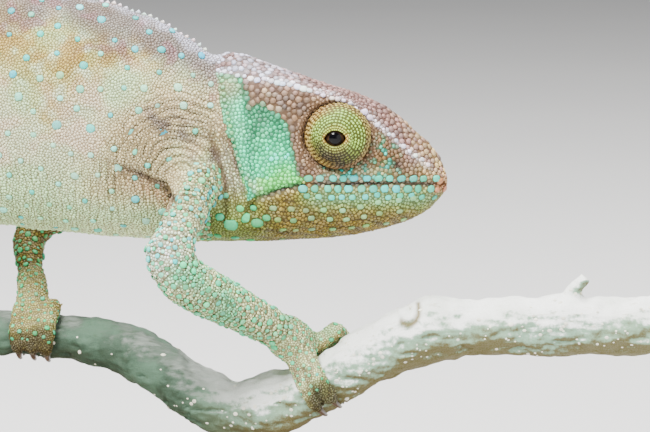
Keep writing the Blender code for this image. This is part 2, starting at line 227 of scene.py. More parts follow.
def meshFrom(bm, name):
    # a new mesh from a bmesh that isn't needed any more
    mesh = bpy.data.meshes.new(name)
    bm.to_mesh(mesh)
    bm.free()
    return mesh


def cleanCopy(node):
    # a bmesh of a CAD node, with its doubles merged
    bm = bmesh.new()
    bm.from_mesh(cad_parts[node].data)
    bmesh.ops.remove_doubles(bm, verts=bm.verts, dist=1e-6)
    return bm


def remeshed(name, mesh, voxel):
    # an object with one fine even mesh over the given one, whose voxels are measured in mm
    made = addObject(name, mesh)
    remesh = made.modifiers.new("Remesh", "REMESH")
    remesh.mode = "VOXEL"
    remesh.voxel_size = voxel * mm
    mesh = bpy.data.meshes.new_from_object(made.evaluated_get(bpy.context.evaluated_depsgraph_get()))
    made.modifiers.clear()
    made.data = mesh
    return made


def extrudeRing(bm, edges):
    # a new ring from the edges of the last one, as its vertices and its edges
    made = bmesh.ops.extrude_edge_only(bm, edges=edges)["geom"]
    return [[g for g in made if isinstance(g, kind)] for kind in (bmesh.types.BMVert, bmesh.types.BMEdge)]


def smoothVerts(bm, verts, times):
    for _ in range(times):
        bmesh.ops.smooth_vert(bm, verts=verts, factor=0.5, use_axis_x=True, use_axis_y=True, use_axis_z=True)


def meshArrays(mesh):
    points = np.empty(len(mesh.vertices) * 3)
    mesh.vertices.foreach_get("co", points)
    normals = np.empty(len(mesh.vertices) * 3)
    mesh.vertices.foreach_get("normal", normals)
    return points.reshape(-1, 3), normals.reshape(-1, 3)


def writePoints(mesh, points):
    mesh.vertices.foreach_set("co", np.asarray(points, np.float32).ravel())
    mesh.update()


def keepColour(mesh, name, values):
    layer = mesh.attributes.new(name, "FLOAT_COLOR", "POINT")
    layer.data.foreach_set("color", np.hstack([values, np.ones((len(values), 1))]).astype(np.float32).ravel())


def keepNumber(mesh, name, values):
    mesh.attributes.new(name, "FLOAT", "POINT").data.foreach_set("value", np.asarray(values, np.float32))


def treeOf(node):
    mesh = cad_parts[node].data
    return BVHTree.FromPolygons([v.co for v in mesh.vertices], [tuple(p.vertices) for p in mesh.polygons])


def findBranchLine():
    # the middle line of the branch, every millimetre, with its directions and radius
    tree = treeOf("perch_branch")
    low, high = (toLocal(corner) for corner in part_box("perch_branch"))
    centres, radii = [], []
    y, z = (low + high)[1:] / 2
    for x in np.arange(low[0] + 1, high[0] - 1, 1.0):
        for _ in range(3):
            ends = []
            for heading in ((0, 0, -1), (0, 0, 1), (0, -1, 0), (0, 1, 0)):
                start = Vector(toWorld((x, y, z))) - Vector(heading) * 0.06
                hit = tree.ray_cast(start, Vector(heading))[0]
                ends.append(toLocal(hit) if hit else np.array([x, y, z]))
            z = (ends[0][2] + ends[1][2]) / 2
            y = (ends[2][1] + ends[3][1]) / 2
        centres.append((x, y, z))
        radii.append(abs(ends[2][1] - ends[3][1]) / 2)
    centres, radii = np.array(centres), np.array(radii)
    kernel = np.ones(9) / 9
    centres[4:-4] = np.stack([np.convolve(centres[:, k], kernel, "valid") for k in range(3)], -1)
    radii[4:-4] = np.convolve(radii, kernel, "valid")
    onward = unit(np.gradient(centres, axis=0))
    up = unit(np.array([0, 0, 1]) - onward * onward[:, 2:])
    return {"centre": centres, "onward": onward, "up": up, "right": np.cross(onward, up), "radius": radii,
            "along": lengthsAlong(centres)}


branchLine = findBranchLine()


def roundBranch(local):
    # how far along the branch each place lies, at what angle from its top and how far from its middle
    nearest = np.concatenate([((chunk[:, None] - branchLine["centre"][None]) ** 2).sum(2).argmin(1)
                              for chunk in np.array_split(local, len(local) // 20000 + 1)])
    away = local - branchLine["centre"][nearest]
    up, right = ((away * branchLine[k][nearest]).sum(1) for k in ("up", "right"))
    return branchLine["along"][nearest], np.degrees(np.arctan2(right, up)), np.hypot(up, right)


# Where each foot holds the branch, and its bundles of toes: side, count and shift along the branch.
gripValues = {
    "right_hand": (-3.8, ((1, 2, -0.5), (-1, 3, 5.5))), "left_hand": (-82.3, ((1, 3, 1.5), (-1, 2, -1.0))),
    "right_foot": (-143.3, ((1, 3, -1.0), (-1, 2, 1.5))), "left_foot": (-170.3, ((1, 2, 1.5), (-1, 3, -1.0))),
    "toePitch": 4.1,
}
footNames = ("right_hand", "left_hand", "right_foot", "left_foot")


def toeMarks(foot):
    # for each toe of a foot: its side, its place along the branch, and whether a crease follows it
    grip, bundles = gripValues[foot]
    start = np.interp(grip, branchLine["centre"][:, 0], branchLine["along"])
    return [(side, start + shift + (n - (count - 1) / 2) * gripValues["toePitch"], n < count - 1)
            for side, count, shift in bundles for n in range(count)]


skinValues = {
    "swell": 0.35,  # closes the gaps between the solids
    "tailSwell": {"tail_1": 0.2, "tail_2": 0.2, "tail_3": 0.2, "tail_4": 0.25, "tail_5": 0.4, "tail_6": 0.8},
    "coilGap": -0.55, "coilReach": 2.4,  # where the tail's coils face each other
    "voxel": 0.88,
    "smoothing": 8, "jointSmoothing": 40,
    "coatDepth": 0.42,  # how far the skin lies inside the solids
}
fleshNames = [n for n in sorted(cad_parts) if not n.startswith(("perch", "stand")) and "eye" not in n]


def regionTree():
    # finds the solid that a place is nearest to
    points, faces, owners = [], [], []
    for name in fleshNames:
        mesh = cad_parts[name].data
        mesh.calc_loop_triangles()
        start = len(points)
        points += [v.co.copy() for v in mesh.vertices]
        faces += [[start + i for i in t.vertices] for t in mesh.loop_triangles]
        owners += [name] * len(mesh.loop_triangles)
    return BVHTree.FromPolygons(points, faces), owners


fleshTree, fleshOwners = regionTree()


def regionsOf(points):
    return np.array([fleshOwners[fleshTree.find_nearest(Vector(p))[2]] for p in points])


limbAxes = {}
for name in fleshNames:
    corners = toLocal([v.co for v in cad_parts[name].data.vertices])
    centre = corners.mean(0)
    limbAxes[name] = (centre, np.linalg.svd(corners - centre, full_matrices=False)[2][0])


def alongLimb(points, regions):
    # distance along each node's own longest direction
    result = np.zeros(len(points))
    for name in set(regions):
        chosen = regions == name
        centre, axis = limbAxes[name]
        result[chosen] = (points[chosen] - centre) @ axis
    return result


def leftOfLimb(points, regions):
    # how far to the left of its node's middle line each place lies
    result = np.zeros(len(points))
    for name in set(regions):
        chosen = regions == name
        centre, axis = limbAxes[name]
        away = points[chosen] - centre
        result[chosen] = (away - np.outer(away @ axis, axis))[:, 1]
    return result


spineLine = ((33, 0), (73, 4), (113, 10), (163, 18.5), (193, 21.5))  # to the left, by distance to the rear
sideLook = (0.99, 0.139)  # cosine and sine of the angle from which a side view looks down
limbWords = ("arm", "hand", "thigh", "shin", "foot")


def spineY(x):
    return readTable(spineLine, -x)


def sideHeight(local):
    # the height at which a side view from slightly above shows a point of either flank
    return sideLook[0] * local[:, 2] - sideLook[1] * np.abs(local[:, 1] - spineY(local[:, 0]))


def kindOf(regions, *words):
    # which regions have any of the words in their names
    return np.array([any(w in r for w in words) for r in regions])


def findLimbRoots():
    # where the middle of each limb meets the trunk
    roots = {}
    for name in ("right_upper_arm", "left_upper_arm", "right_thigh", "left_thigh"):
        corners = toLocal([v.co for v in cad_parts[name].data.vertices])
        high = corners[corners[:, 2] > corners[:, 2].max() - 6]
        side = -1 if name.startswith("right") else 1
        outer = high[:, 1] * side
        roots[name] = np.array([high[:, 0].mean(), side * np.percentile(outer, 70), corners[:, 2].max() - 3])
    return roots


limbRoots = findLimbRoots()


def limbShare(local):
    # 0 where a limb leaves the trunk, 1 from a little way down it
    nearest = np.full(len(local), 99.0)
    for root in limbRoots.values():
        nearest = np.minimum(nearest, np.linalg.norm(local - root, axis=1))
    return smoothStep(6, 15, nearest)


armShape = [(-36.7, -8.3), (-31.8, -8.6), (-29.4, -12.2), (-29.2, -17.5), (-30.2, -23.0), (-33.2, -28.0),
            (-36.5, -34.0), (-52.0, -34.0), (-48.4, -29.5), (-45.2, -23.6), (-41.8, -18.2), (-39.0, -12.6)]


def limbAmount(local, regions):
    # how far each place belongs to a limb; the right upper arm has its own outline
    x, z = local[:, 0], sideHeight(local)
    limb = kindOf(regions, *limbWords)
    beside = kindOf(regions, "trunk", "neck") & (local[:, 1] < spineY(x) - 4)
    drawn = np.maximum(within(armShape, x, z, 0.6), limb * smoothStep(-29, -31.5, z))
    return np.where((regions == "right_upper_arm") | beside, drawn, limb * limbShare(local))


# Lines and outlines in the side view, which folds, markings and scales follow.
shoulderAt = (-41.0, -14.0)
nostrilAt = (15.8, -9.1)
armpitLine = [(-61.3, -8.0), (-57.3, -9.9), (-51.3, -11.8), (-46.0, -14.4), (-41.9, -18.4)]
armRear = [(-41.9, -18.4), (-45.3, -23.6), (-48.4, -29.0)]
armFront = [(-33.0, -5.0), (-30.2, -9.5), (-29.0, -13.0), (-28.8, -17.5), (-29.9, -23.4)]
mouthLine = [(30.0, -13.9), (-7.8, -13.9), (-14.0, -15.2), (-20.2, -17.4)]
cheekShape = [(-24.5, 4.6), (-20.0, 6.6), (-13.6, 1.5), (-11.6, -8.0), (-10.4, -13.2), (-20.5, -17.0),
              (-25.0, -19.0)]
lobeFront = [(-25.6, 13.4), (-23.9, 9.0), (-23.5, 0.0), (-22.2, -13.0)]
lobeShape = [(-31.6, 14.9), (-25.7, 14.0), *lobeFront[1:], (-21.6, -17.5), (-25.4, -10.6), (-27.6, -2.6),
             (-29.8, 7.4)]
lobeBack = ((-17, -21.5), (-10.6, -25.4), (-2.6, -27.6), (7.4, -29.8), (14.4, -30.8))  # by height
throatFolds = [armFront, [(-28.3, -3.0), (-26.4, -10.0), (-24.8, -17.0)],
               [(-30.0, -2.0), (-27.6, -11.0), (-26.3, -21.0)], lobeFront,
               [(-20.3, -17.5), (-23.2, -20.0), (-24.6, -24.5)], [(-33.6, -1.5), (-30.5, -7.0)]]
neckLine = [(-47, 3), (-38, -1), (-33, -9)]
casqueLine = [(-32.8, 16.9), (-24.3, 15.0), (-13.3, 14.0), (-0.3, 10.2), (7.7, 5.4), (15.7, -1.6),
              (23.7, -8.0), (29.5, -12.4)]
backLine = ((33, 20), (48, 30), (63, 35.5), (83, 39.5), (107, 41.5), (131, 37), (153, 26.5), (169, 15.5),
            (185, 8.5))  # by distance to the rear


def lobeRear(z):
    # how far back the occipital lobes reach at each height
    return readTable(lobeBack, z)


def fromShoulder(x, z):
    return np.hypot(x - shoulderAt[0], (z - shoulderAt[1]) * 0.9)


def shoulderFade(reach, z):
    # where the rings of folds round the shoulder show
    return smoothStep(1.5, 5, reach) * smoothStep(27, 15, reach) * smoothStep(-24, -12, z)


# The sines of these waves are the rows: the skin's shape, its colours and its bare lines all follow them.


def shoulderWaves(reach, wander):
    return reach * 3.5 + wander * 2.6


def flankRows(x, wander):
    return x * 3.4 + wander * 2.6


def limbRows(local, regions, wander):
    return alongLimb(local, regions) * 3.7 + wander * 2.2


def jawRows(x, z, middle):
    return z * 4.1 + x * 0.4 + middle * 4


def foldHeight(local, regions):
    # how far folds and grooves lift or sink the skin, in mm
    x, z = local[:, 0], sideHeight(local)
    side = np.abs(local[:, 1] - spineY(x))
    wander = cloud(local, 6.0, 1)
    lift = 0.1 * cloud(local, 3.0, 2)
    trunk = kindOf(regions, "trunk", "neck", "upper_arm")
    lift += trunk * 0.3 * cloud(local * (1, 1, 0.55), 7.0, 3)
    reach = fromShoulder(x, z)
    lift += trunk * shoulderFade(reach, z) * 0.42 * np.sin(shoulderWaves(reach, wander))
    deep = smoothStep(-61, -50, x)
    lift -= trunk * (0.35 + 0.65 * deep) * nearLine(armpitLine, x, z, 0.8)
    lift += trunk * 0.55 * nearLine(raised(armpitLine, 2.0), x, z, 1.5)
    lift -= trunk * 0.7 * deep * nearLine(raised(armpitLine, -2.6), x, z, 2.0)
    lift -= trunk * 0.7 * nearLine(armRear, x, z, 0.7)
    amount = limbAmount(local, regions)
    upper = regions == "right_upper_arm"
    lift -= (upper * (1 - amount) * 2.0 * smoothStep(-10, -17, z) * smoothStep(-36, -40, x)
             * smoothStep(-31, -24, z))
    lift += trunk * amount * 0.35
    low = smoothStep(-2, -12, z)
    lift += trunk * (1 - amount) * low * 0.15 * np.sin(flankRows(x, wander))
    head = kindOf(regions, "head", "jaw", "lobe")
    for line in throatFolds:
        depth = 0.45 if line is lobeFront else 1.0
        lift -= (trunk | head) * depth * nearLine(line, x + wander * 0.4, z, 0.75)
    onFace = head & (side > 2)
    lift -= onFace * 0.9 * nearLine(mouthLine, x, z, 0.5)
    ring = np.hypot(x, local[:, 2])
    fade = onFace * smoothStep(8.6, 9.3, ring) * smoothStep(12.6, 10.2, ring)
    lift += fade * (0.35 * np.cos((ring - 9.7) * 3.4) + 0.15)
    lift -= onFace * 1.5 * nearSpot(nostrilAt, x, z, 0.75, 1.2)
    lift += amount * 0.24 * np.sin(limbRows(local, regions, wander))
    lift[kindOf(regions, "hand", "foot")] -= toeCreases(local, regions)
    return lift


def toeCreases(local, regions):
    # depth of the creases between the toes of each bundle
    toes = kindOf(regions, "hand", "foot")
    along, angle, _ = roundBranch(local[toes])
    depth = np.zeros(len(along))
    for foot in footNames:
        for side, mark, paired in toeMarks(foot):
            if paired:
                beside = (regions[toes] == foot) * smoothStep(28, 60, angle * side)
                depth += beside * 1.1 * hump(along, mark + gripValues["toePitch"] / 2, 0.62)
    return depth


def swellOf(name, vert):
    # how far a point of a solid moves out, or in where it faces the next coil of the tail
    if "tail" in name:
        start = vert.co + vert.normal * 0.5 * mm
        if fleshTree.ray_cast(start, vert.normal, skinValues["coilReach"] * mm)[0] is not None:
            return skinValues["coilGap"]
    return skinValues["tailSwell"].get(name, skinValues["swell"])


def buildSkin():
    bm = bmesh.new()
    for name in fleshNames:
        piece = cleanCopy(name)
        piece.normal_update()
        for vert in piece.verts:
            vert.co += vert.normal * swellOf(name, vert) * mm
        copy = meshFrom(piece, "copy")
        bm.from_mesh(copy)
        bpy.data.meshes.remove(copy)
    skin = remeshed("skin", meshFrom(bm, "joined"), skinValues["voxel"])
    mesh = skin.data
    bm = bmesh.new()
    bm.from_mesh(mesh)
    smoothVerts(bm, bm.verts, skinValues["smoothing"])
    near = limbShare(toLocal([v.co for v in bm.verts])) < 0.9
    bm.verts.ensure_lookup_table()
    smoothVerts(bm, [bm.verts[i] for i in np.nonzero(near)[0]], skinValues["jointSmoothing"])
    bm.to_mesh(mesh)
    bm.free()
    points, normals = meshArrays(mesh)
    local, regions = toLocal(points), regionsOf(points)
    sink = skinValues["swell"] + skinValues["coatDepth"]
    thin = kindOf(regions, "hand", "foot", "tail_5", "tail_6")
    move = foldHeight(local, regions) - np.where(thin, sink * 0.6, sink)
    writePoints(mesh, points + normals * move[:, None] * mm)
    mesh.shade_smooth()
    return skin


skin = buildSkin()
print("skin:", len(skin.data.vertices), "points")


def unwrap(piece):
    # gives a piece the unwrap that its finish is baked on
    bpy.context.view_layer.objects.active = piece
    piece.select_set(True)
    bpy.ops.object.mode_set(mode="EDIT")
    bpy.ops.mesh.select_all(action="SELECT")
    bpy.ops.uv.smart_project(angle_limit=math.radians(66), island_margin=0.001)
    bpy.ops.object.mode_set(mode="OBJECT")
    piece.select_set(False)
    piece.data.uv_layers[0].name = "OFBake"


unwrap(skin)
skinPoints, skinNormals = meshArrays(skin.data)
skinLocal, skinRegions = toLocal(skinPoints), regionsOf(skinPoints)
print("skin: unwrapped")


# The markings, and the painted shade and highlights, as sRGB colours before they are made more vivid.
hideColours = {
    "back": (112, 106, 108), "flank": (206, 212, 192), "rose": (212, 205, 190), "sage": (200, 214, 188),
    "lowFlank": (212, 232, 202), "belly": (234, 245, 214), "ochre": (164, 150, 100),
    "ochreGreen": (182, 202, 168), "fold": (204, 193, 168), "armpit": (192, 174, 152),
    "blotch": (140, 118, 122), "spot": (58, 190, 196), "paleSpot": (150, 222, 212),
    "cheekTop": (20, 132, 108), "cheek": (38, 240, 204), "cheekLow": (152, 242, 164),
    "lobe": (104, 226, 196), "lobeEdge": (160, 196, 168), "lobePale": (224, 244, 210),
    "lobeTop": (150, 148, 126), "casque": (196, 198, 210), "plates": (138, 120, 118),
    "temple": (128, 113, 98), "templeDark": (98, 88, 84), "snout": (112, 96, 64),
    "snoutTip": (200, 188, 152), "aroundEye": (150, 134, 116), "lip": (66, 212, 208),
    "lipPale": (212, 208, 186), "rostral": (184, 154, 124), "chin": (124, 112, 56),
    "chinSpot": (156, 194, 168), "throat": (112, 120, 64), "limb": (224, 230, 198),
    "limbSpot": (84, 208, 174), "elbow": (236, 246, 238), "palm": (222, 226, 196), "toeTip": (50, 46, 22),
    "web": (180, 150, 100), "shadedInnerLeg": (104, 92, 42), "tail": (190, 200, 172), "tailBand": (160, 152, 120),
    "neckPale": (222, 232, 212), "cone": (226, 228, 232), "crest": (232, 232, 240),
}
tone = {name: np.array(rgb, float) for name, rgb in hideColours.items()}

# Where things lie in the side view: the middles and sizes of patches, and how wide and low parts reach.
ochrePatches = ((-82, 25, 9), (-68, 20, 7), (-62, 30, 6), (-94, 33, 8), (-112, 27, 9), (-135, 22, 8),
                (-51, 21, 5), (-100, 12, 6), (-76, 6, 4))
elbowAt, coilAt = (-46.5, -31.4), (-219, -24)
lobeFlush = [(-23, -3), (-18.5, 3.0), (-17.8, -1.0), (-22.5, -9)]
crownWidths = ((-33, 4), (-15, 9.6), (0, 10.2), (9, 8.6), (29.5, 1.4))
jawTop = ((-20.2, -17.4), (-14.0, -15.2), (-9.0, -14.2), (-7.0, 0))


class Painting:
    # colours at a set of places, laid one over another
    def __init__(self, local, regions):
        self.local, self.regions = local, regions
        self.x, self.y, self.z = local[:, 0], local[:, 1], sideHeight(local)
        self.side = np.abs(self.y - spineY(self.x))
        self.middle, self.fine, self.wander = cloud(local, 9, 12), cloud(local, 3.2, 13), cloud(local, 6.0, 1)
        self.onLimb = limbAmount(local, regions)
        self.rgb = self.plain("flank")

    def plain(self, colour):
        return np.tile(tone[colour], (len(self.local), 1))

    def kind(self, *words):
        return kindOf(self.regions, *words)

    def lay(self, colour, amount):
        share = np.clip(amount, 0, 1)[:, None]
        self.rgb = self.rgb * (1 - share) + (tone[colour] if isinstance(colour, str) else colour) * share

    def restart(self, rgb):
        # goes on with other colours, and returns those laid until now
        laid, self.rgb = self.rgb, rgb
        return laid


def paintTrunk(p):
    x, z, middle, fine, lay = p.x, p.z, p.middle, p.fine, p.lay
    down = readTable(backLine, -x) - z
    lay("rose", smoothStep(-0.1, 0.55, middle * 0.7 + fine * 0.35 + 0.15))
    lay("sage", smoothStep(0.05, 0.6, cloud(p.local, 13, 14) + 0.25 * smoothStep(-90, -130, x)))
    lay("lowFlank", smoothStep(-5, -17, z) * 0.8)
    lay("belly", smoothStep(-21, -27, z) * 0.9)
    lay("ochreGreen", smoothStep(-60, -76, x) * smoothStep(-14, -24, z) * 0.45)
    patches = np.zeros(len(x))
    for px, pz, size in ochrePatches:
        patches += hump(np.hypot(x - px, (z - pz) * 0.8) + middle * 3, 0, size)
    lay("ochre", patches * 0.9 * smoothStep(-0.6, 0.5, fine + 0.35))
    lay("ochreGreen", smoothStep(0.15, 0.6, cloud(p.local, 7, 15)) * smoothStep(30, 8, down) * 0.55)
    lay("back", smoothStep(15, 5, down + middle * 4) * 0.85)
    lay("blotch", smoothStep(22, 10, down) * smoothStep(0.3, 0.7, cloud(p.local, 4.2, 16)) * 0.6)
    lay("casque", smoothStep(3.6, 1.2, down + fine) * 0.8)


def paintFolds(p):
    # the shade in the folds round the shoulder, under the arm and across the neck
    x, z, middle, wander, lay = p.x, p.z, p.middle, p.wander, p.lay
    reach = fromShoulder(x, z)
    lay("fold", smoothStep(31, 15, reach + middle * 4) * smoothStep(-24, -14, z) * 0.8)
    valley = 0.5 - 0.5 * np.sin(shoulderWaves(reach, wander))
    lay(tone["fold"] * 0.6, shoulderFade(reach, z) * valley ** 2 * (0.75 + 0.3 * middle))
    mild = np.where(p.y > spineY(x), 0.55, 1.0)
    streak = 0.6 + 0.4 * np.sin(flankRows(x, wander))
    lay("armpit", nearLine(raised(armpitLine, -2.6), x, z, 3.2) * mild * streak * smoothStep(-60, -47, x))
    # a pale line above the armpit crease: a painted highlight on the fold's lit upper lip
    lay("lipPale", nearLine(raised(armpitLine, 1.6), x, z, 1.2) * 0.5 * mild)
    lay(tone["armpit"] * 0.5, nearLine(armpitLine, x, z, 0.8) * mild * smoothStep(-62, -50, x))
    lay(tone["armpit"] * 0.55, nearLine(armRear, x, z, 0.8) * mild * 0.8)
    # darker lines in the grooves of the lower flank's pleats: painted shade
    rows = smoothStep(0.2, -0.8, np.sin(flankRows(x, wander)))
    lay(tone["fold"] * 0.7, smoothStep(-4, -12, z) * rows * 0.3)
    lay("ochreGreen", nearSpot((-37, -7), x, z, 7) * smoothStep(-0.5, 0.5, middle) * 0.6)
    lay("neckPale", smoothStep(-31, -28.5, x) * smoothStep(-20, -14, z) * smoothStep(0, -5, z) * 0.95)
    for line in throatFolds:
        width, share = (0.75, 1.0) if line is armFront else (0.5, 0.7)
        lay(tone["armpit"] * 0.55, nearLine(line, x + wander * 0.4, z, width) * share)
    lay(tone["back"] * 0.86, nearLine(neckLine, x, z, 3.2) * 0.5 * (0.6 + p.fine))


def paintLimbs(p):
    x, z, middle, share, lay = p.x, p.z, p.middle, p.onLimb, p.lay
    shade = np.clip(0.55 + 0.45 * p.fine, 0, 1)[:, None]
    lay(tone["limb"] * (1 - 0.12 * shade) + (tone["sage"] - tone["limb"]) * 0.35 * shade, share)
    left = p.kind("left")
    lay("elbow", share * ~left * nearSpot(elbowAt, x, z, 9))
    # the inner side of the left legs: partly their own khaki, partly painted shade on the far legs
    inner = left * smoothStep(2.2, -0.8, leftOfLimb(p.local, p.regions))
    lay("shadedInnerLeg", inner * 0.8 * share)
    lay("limbSpot", share * (1 - inner) * smoothStep(-30, -40, z) * smoothStep(-0.2, 0.8, middle) * 0.4)
    # darker bands in the grooves between the rows of the limbs: painted shade
    rows = np.sin(limbRows(p.local, p.regions, p.wander))
    lay(tone["fold"] * 0.62, share * smoothStep(0.1, -0.8, rows) * 0.85)
    toes = p.kind("hand", "foot")
    lay("palm", toes * (0.45 + 0.3 * middle))
    _, angle, out = roundBranch(p.local)
    lay("toeTip", toes * smoothStep(62, 105, np.abs(angle) + middle * 22) * 0.8)
    lay("web", toes * smoothStep(30, 10, np.abs(angle)) * smoothStep(10.5, 8.6, out) * 0.35)


def paintTail(p):
    bands = 0.5 + 0.5 * np.sin(alongLimb(p.local, p.regions) * 0.42 + p.middle)
    colour = tone["tail"] + (tone["tailBand"] - tone["tail"]) * (0.65 * smoothStep(0.45, 0.8, bands))[:, None]
    p.lay(colour, p.kind("tail") * smoothStep(-178, -192, p.x))


def paintFace(p):
    # the temple, cheek and snout
    local, x, z, middle, lay = p.local, p.x, p.z, p.middle, p.lay
    lay("templeDark", smoothStep(-0.1, 0.5, cloud(local, 1.7, 18)) * 0.7)
    lay("lipPale", smoothStep(0.25, 0.8, cloud(local, 2.6, 19)) * 0.35)
    lay("snout", smoothStep(6, 12, x))
    lay("plates", smoothStep(5.5, 2.0, readTable(casqueLine, x) - z) * 0.5)
    lay("ochreGreen", smoothStep(7, 12, x) * smoothStep(0.1, 0.6, middle) * 0.35)
    lay("snoutTip", smoothStep(19, 25, x) * 0.7)
    lay("aroundEye", smoothStep(13, 9, np.hypot(x, local[:, 2])) * 0.8)
    cheek = within(cheekShape, x, z, 0.9)
    lay("cheek", cheek)
    lay("cheekTop", cheek * smoothStep(-7, 4, z + cloud(local * (1, 1, 2.2), 3.0, 26) * 4.5))
    lay("cheekLow", cheek * smoothStep(-8, -14, z + middle * 2.5) * smoothStep(-21, -15, x))
    lay("lobeEdge", within(lobeFlush, x, z, 0.8) * 0.55)
    fleck = smoothStep(0.05, 0.3, cloud(local, 1.2, 25))
    below = hump(z, -11.0, 1.9) * smoothStep(-6, -1, x) * smoothStep(20, 12, x)
    lay("sage", below * 0.5)
    lay("lip", (below * 0.9 + nearSpot((12.6, -6.2), x, z, 3.0, 0.8) * 0.8) * fleck)


def paintCrown(p):
    # the top of the casque, between its two crests
    local, x, z, middle, lay = p.local, p.x, p.z, p.middle, p.lay
    beyond = readTable(casqueLine, x) - z + (p.side - readTable(crownWidths, x)) * 0.6
    top = smoothStep(3.2, -0.4, beyond)
    lay("plates", top * smoothStep(-26, -8, x) * 0.9)
    lay("casque", top * smoothStep(-6, -22, x + middle * 5))
    lay("snoutTip", top * smoothStep(12, 22, x + middle * 4) * 0.8)
    lay("templeDark", top * smoothStep(0.1, 0.7, cloud(local, 1.6, 17)) * 0.6)
    lay("plates", nearSpot((19.4, -8.2), x, z, 4.2) * (0.6 + 0.3 * p.fine))
    # a near-white line just below the casque's ridge: partly its pale crest scales, partly a painted
    # highlight along the lit edge
    lay("crest", nearLine(raised(casqueLine, -1.2), x, z, 0.8) * smoothStep(28, 18, x) * 0.85)
    lay("plates", (top > 0.2) * smoothStep(0.0, 0.5, cloud(local, 1.5, 20)) * 0.8)


def paintJaw(p):
    # the lower jaw, the lips, the tip of the snout and the nostril
    x, z, lay = p.x, p.z, p.lay
    under = (p.kind("jaw") | (z < -14.2)) & (z < readTable(jawTop, x))
    lay("cheekLow", (z < -12.5) & (x < -8))
    lay("throat", under)
    lay("chin", under * smoothStep(-27, -12, x) * (0.9 - 0.35 * np.clip(p.fine, 0, 1)))
    rows = smoothStep(0.0, -0.8, np.sin(jawRows(x, z, p.middle)))
    lay(tone["chin"] * 0.55, under * rows * smoothStep(-16.5, -18, z) * 0.55)
    lay("chinSpot", under * hump(z, -17.5, 3.0) * smoothStep(-14, -4, x) * 0.75)
    lay("lipPale", hump(z, -14.2, 1.8) * smoothStep(-9, -3, x) * 0.4)
    lay("lipPale", hump(z, -13.9, 0.9) * smoothStep(-9, -7, x) * 0.9)
    lay("lipPale", nearLine(raised(mouthLine[1:], -0.9), x, z, 0.7) * 0.6)
    # painted shade in the mouth's line
    lay(tone["templeDark"] * 0.3, nearLine(mouthLine, x, z, 0.6) * (p.side > 1.5))
    lay("web", nearSpot((-7.8, -13.4), x, z, 1.3) * 0.9)
    lay("rostral", nearSpot((27.5, -14.4), x, z, 2.7, 1.2))
    lay("snout", nearSpot((27, -19), x, z, 3) * 0.6)
    # painted shade in the nostril
    lay("templeDark", nearSpot(nostrilAt, x, z, 1.4))


def paintNeck(p, face):
    # the throat, then the face, which ends in a soft edge behind the head
    x, z, middle, lay = p.x, p.z, p.middle, p.lay
    throat = smoothStep(-15, -21, z + middle * 2) * smoothStep(-41, -29, x + middle * 3) * (1 - p.onLimb)
    # olive beneath the neck, partly its own colour and partly painted shade, deepest lowest down
    lay("throat", throat * 0.6)
    lay("throat", throat * smoothStep(-21, -25, z) * 0.7)
    beneath = smoothStep(-13.5, -17, z)
    edge = smoothStep(-0.4, 0.8, x - lobeRear(z) + 1.2) * (1 - beneath)
    edge = edge + smoothStep(-28, -17, x + middle * 3) * beneath
    lay(face, p.kind("head", "jaw") * edge)


def paintLobes(p):
    x, z, middle, lay = p.x, p.z, p.middle, p.lay
    head, lobe = p.kind("head"), p.kind("lobe")
    flap = np.maximum(within(lobeShape, x, z, 0.5) * ((head | p.kind("jaw")) & (p.side > 3)), lobe)
    lay("lobe", flap)
    lay("sage", lobe * smoothStep(0.1, 0.7, middle) * 0.4)
    lay("lobeEdge", lobe * smoothStep(-24.5, -27.5, x + z * 0.08) * 0.5)
    lay("lobeTop", flap * smoothStep(2, 11, z + middle * 2) * 0.8)
    pale = hump(np.hypot((x + 23.2) * 1.1, z + 15), 0, 3.8)
    lay("lobePale", (lobe | head) * pale * 0.9 * (x > lobeRear(z)))
    # a dark line along the lobe's front edge: painted shade in its groove
    lay(tone["cheekTop"], (lobe | head) * nearLine(lobeFront, x, z, 0.5) * 0.55)


def paint(local, regions):
    # the colours of the scales at these places, in sRGB
    p = Painting(local, regions)
    for paintPart in (paintTrunk, paintFolds, paintLimbs, paintTail):
        paintPart(p)
    body = p.restart(p.plain("temple"))
    for paintPart in (paintFace, paintCrown, paintJaw):
        paintPart(p)
    paintNeck(p, p.restart(body))
    paintLobes(p)
    return p.rgb


def dim(rgb, share, amount):
    # makes each scale a little lighter or darker than the next, by its share from 0 to 1
    return rgb * (1 + (share - 0.5) * amount)[:, None]


# how low the sine of each wave has to fall before it leaves a bare line
creaseValues = {"shoulder": -0.8, "limb": -0.5, "jaw": -0.5, "flank": -0.8}

coatValues = {
    "spacing": {"trunk": 0.675, "neck": 0.72, "head": 1.0, "jaw": 0.8, "lobe": 0.9, "tail": 0.8, "arm": 0.73,
                "thigh": 0.75, "shin": 0.73, "hand": 0.58, "foot": 0.6},
    "temple": 1.5, "crown": 1.45, "cheek": 1.0, "nearEye": 0.85, "behindHead": 0.75, "tip": 0.55,
    "elsewhere": 1.1,
    "height": 0.18, "trunkHeight": 0.18,  # of a scale's width
    "cheekFlatness": 0.5, "gap": (0.05, 0.08),  # between scales, on the trunk and elsewhere
    "closeness": 0.43, "evening": 2,  # how near places may start, and how often they are evened out
    "perPiece": 9000,  # most scales in a piece, about
    "crowding": 9.0,  # places tried for each scale kept
    "vivid": 2.0,  # how much stronger the colours are than the table's
    "patch": 0.0015,  # half of a scale's patch on the unwrap
}


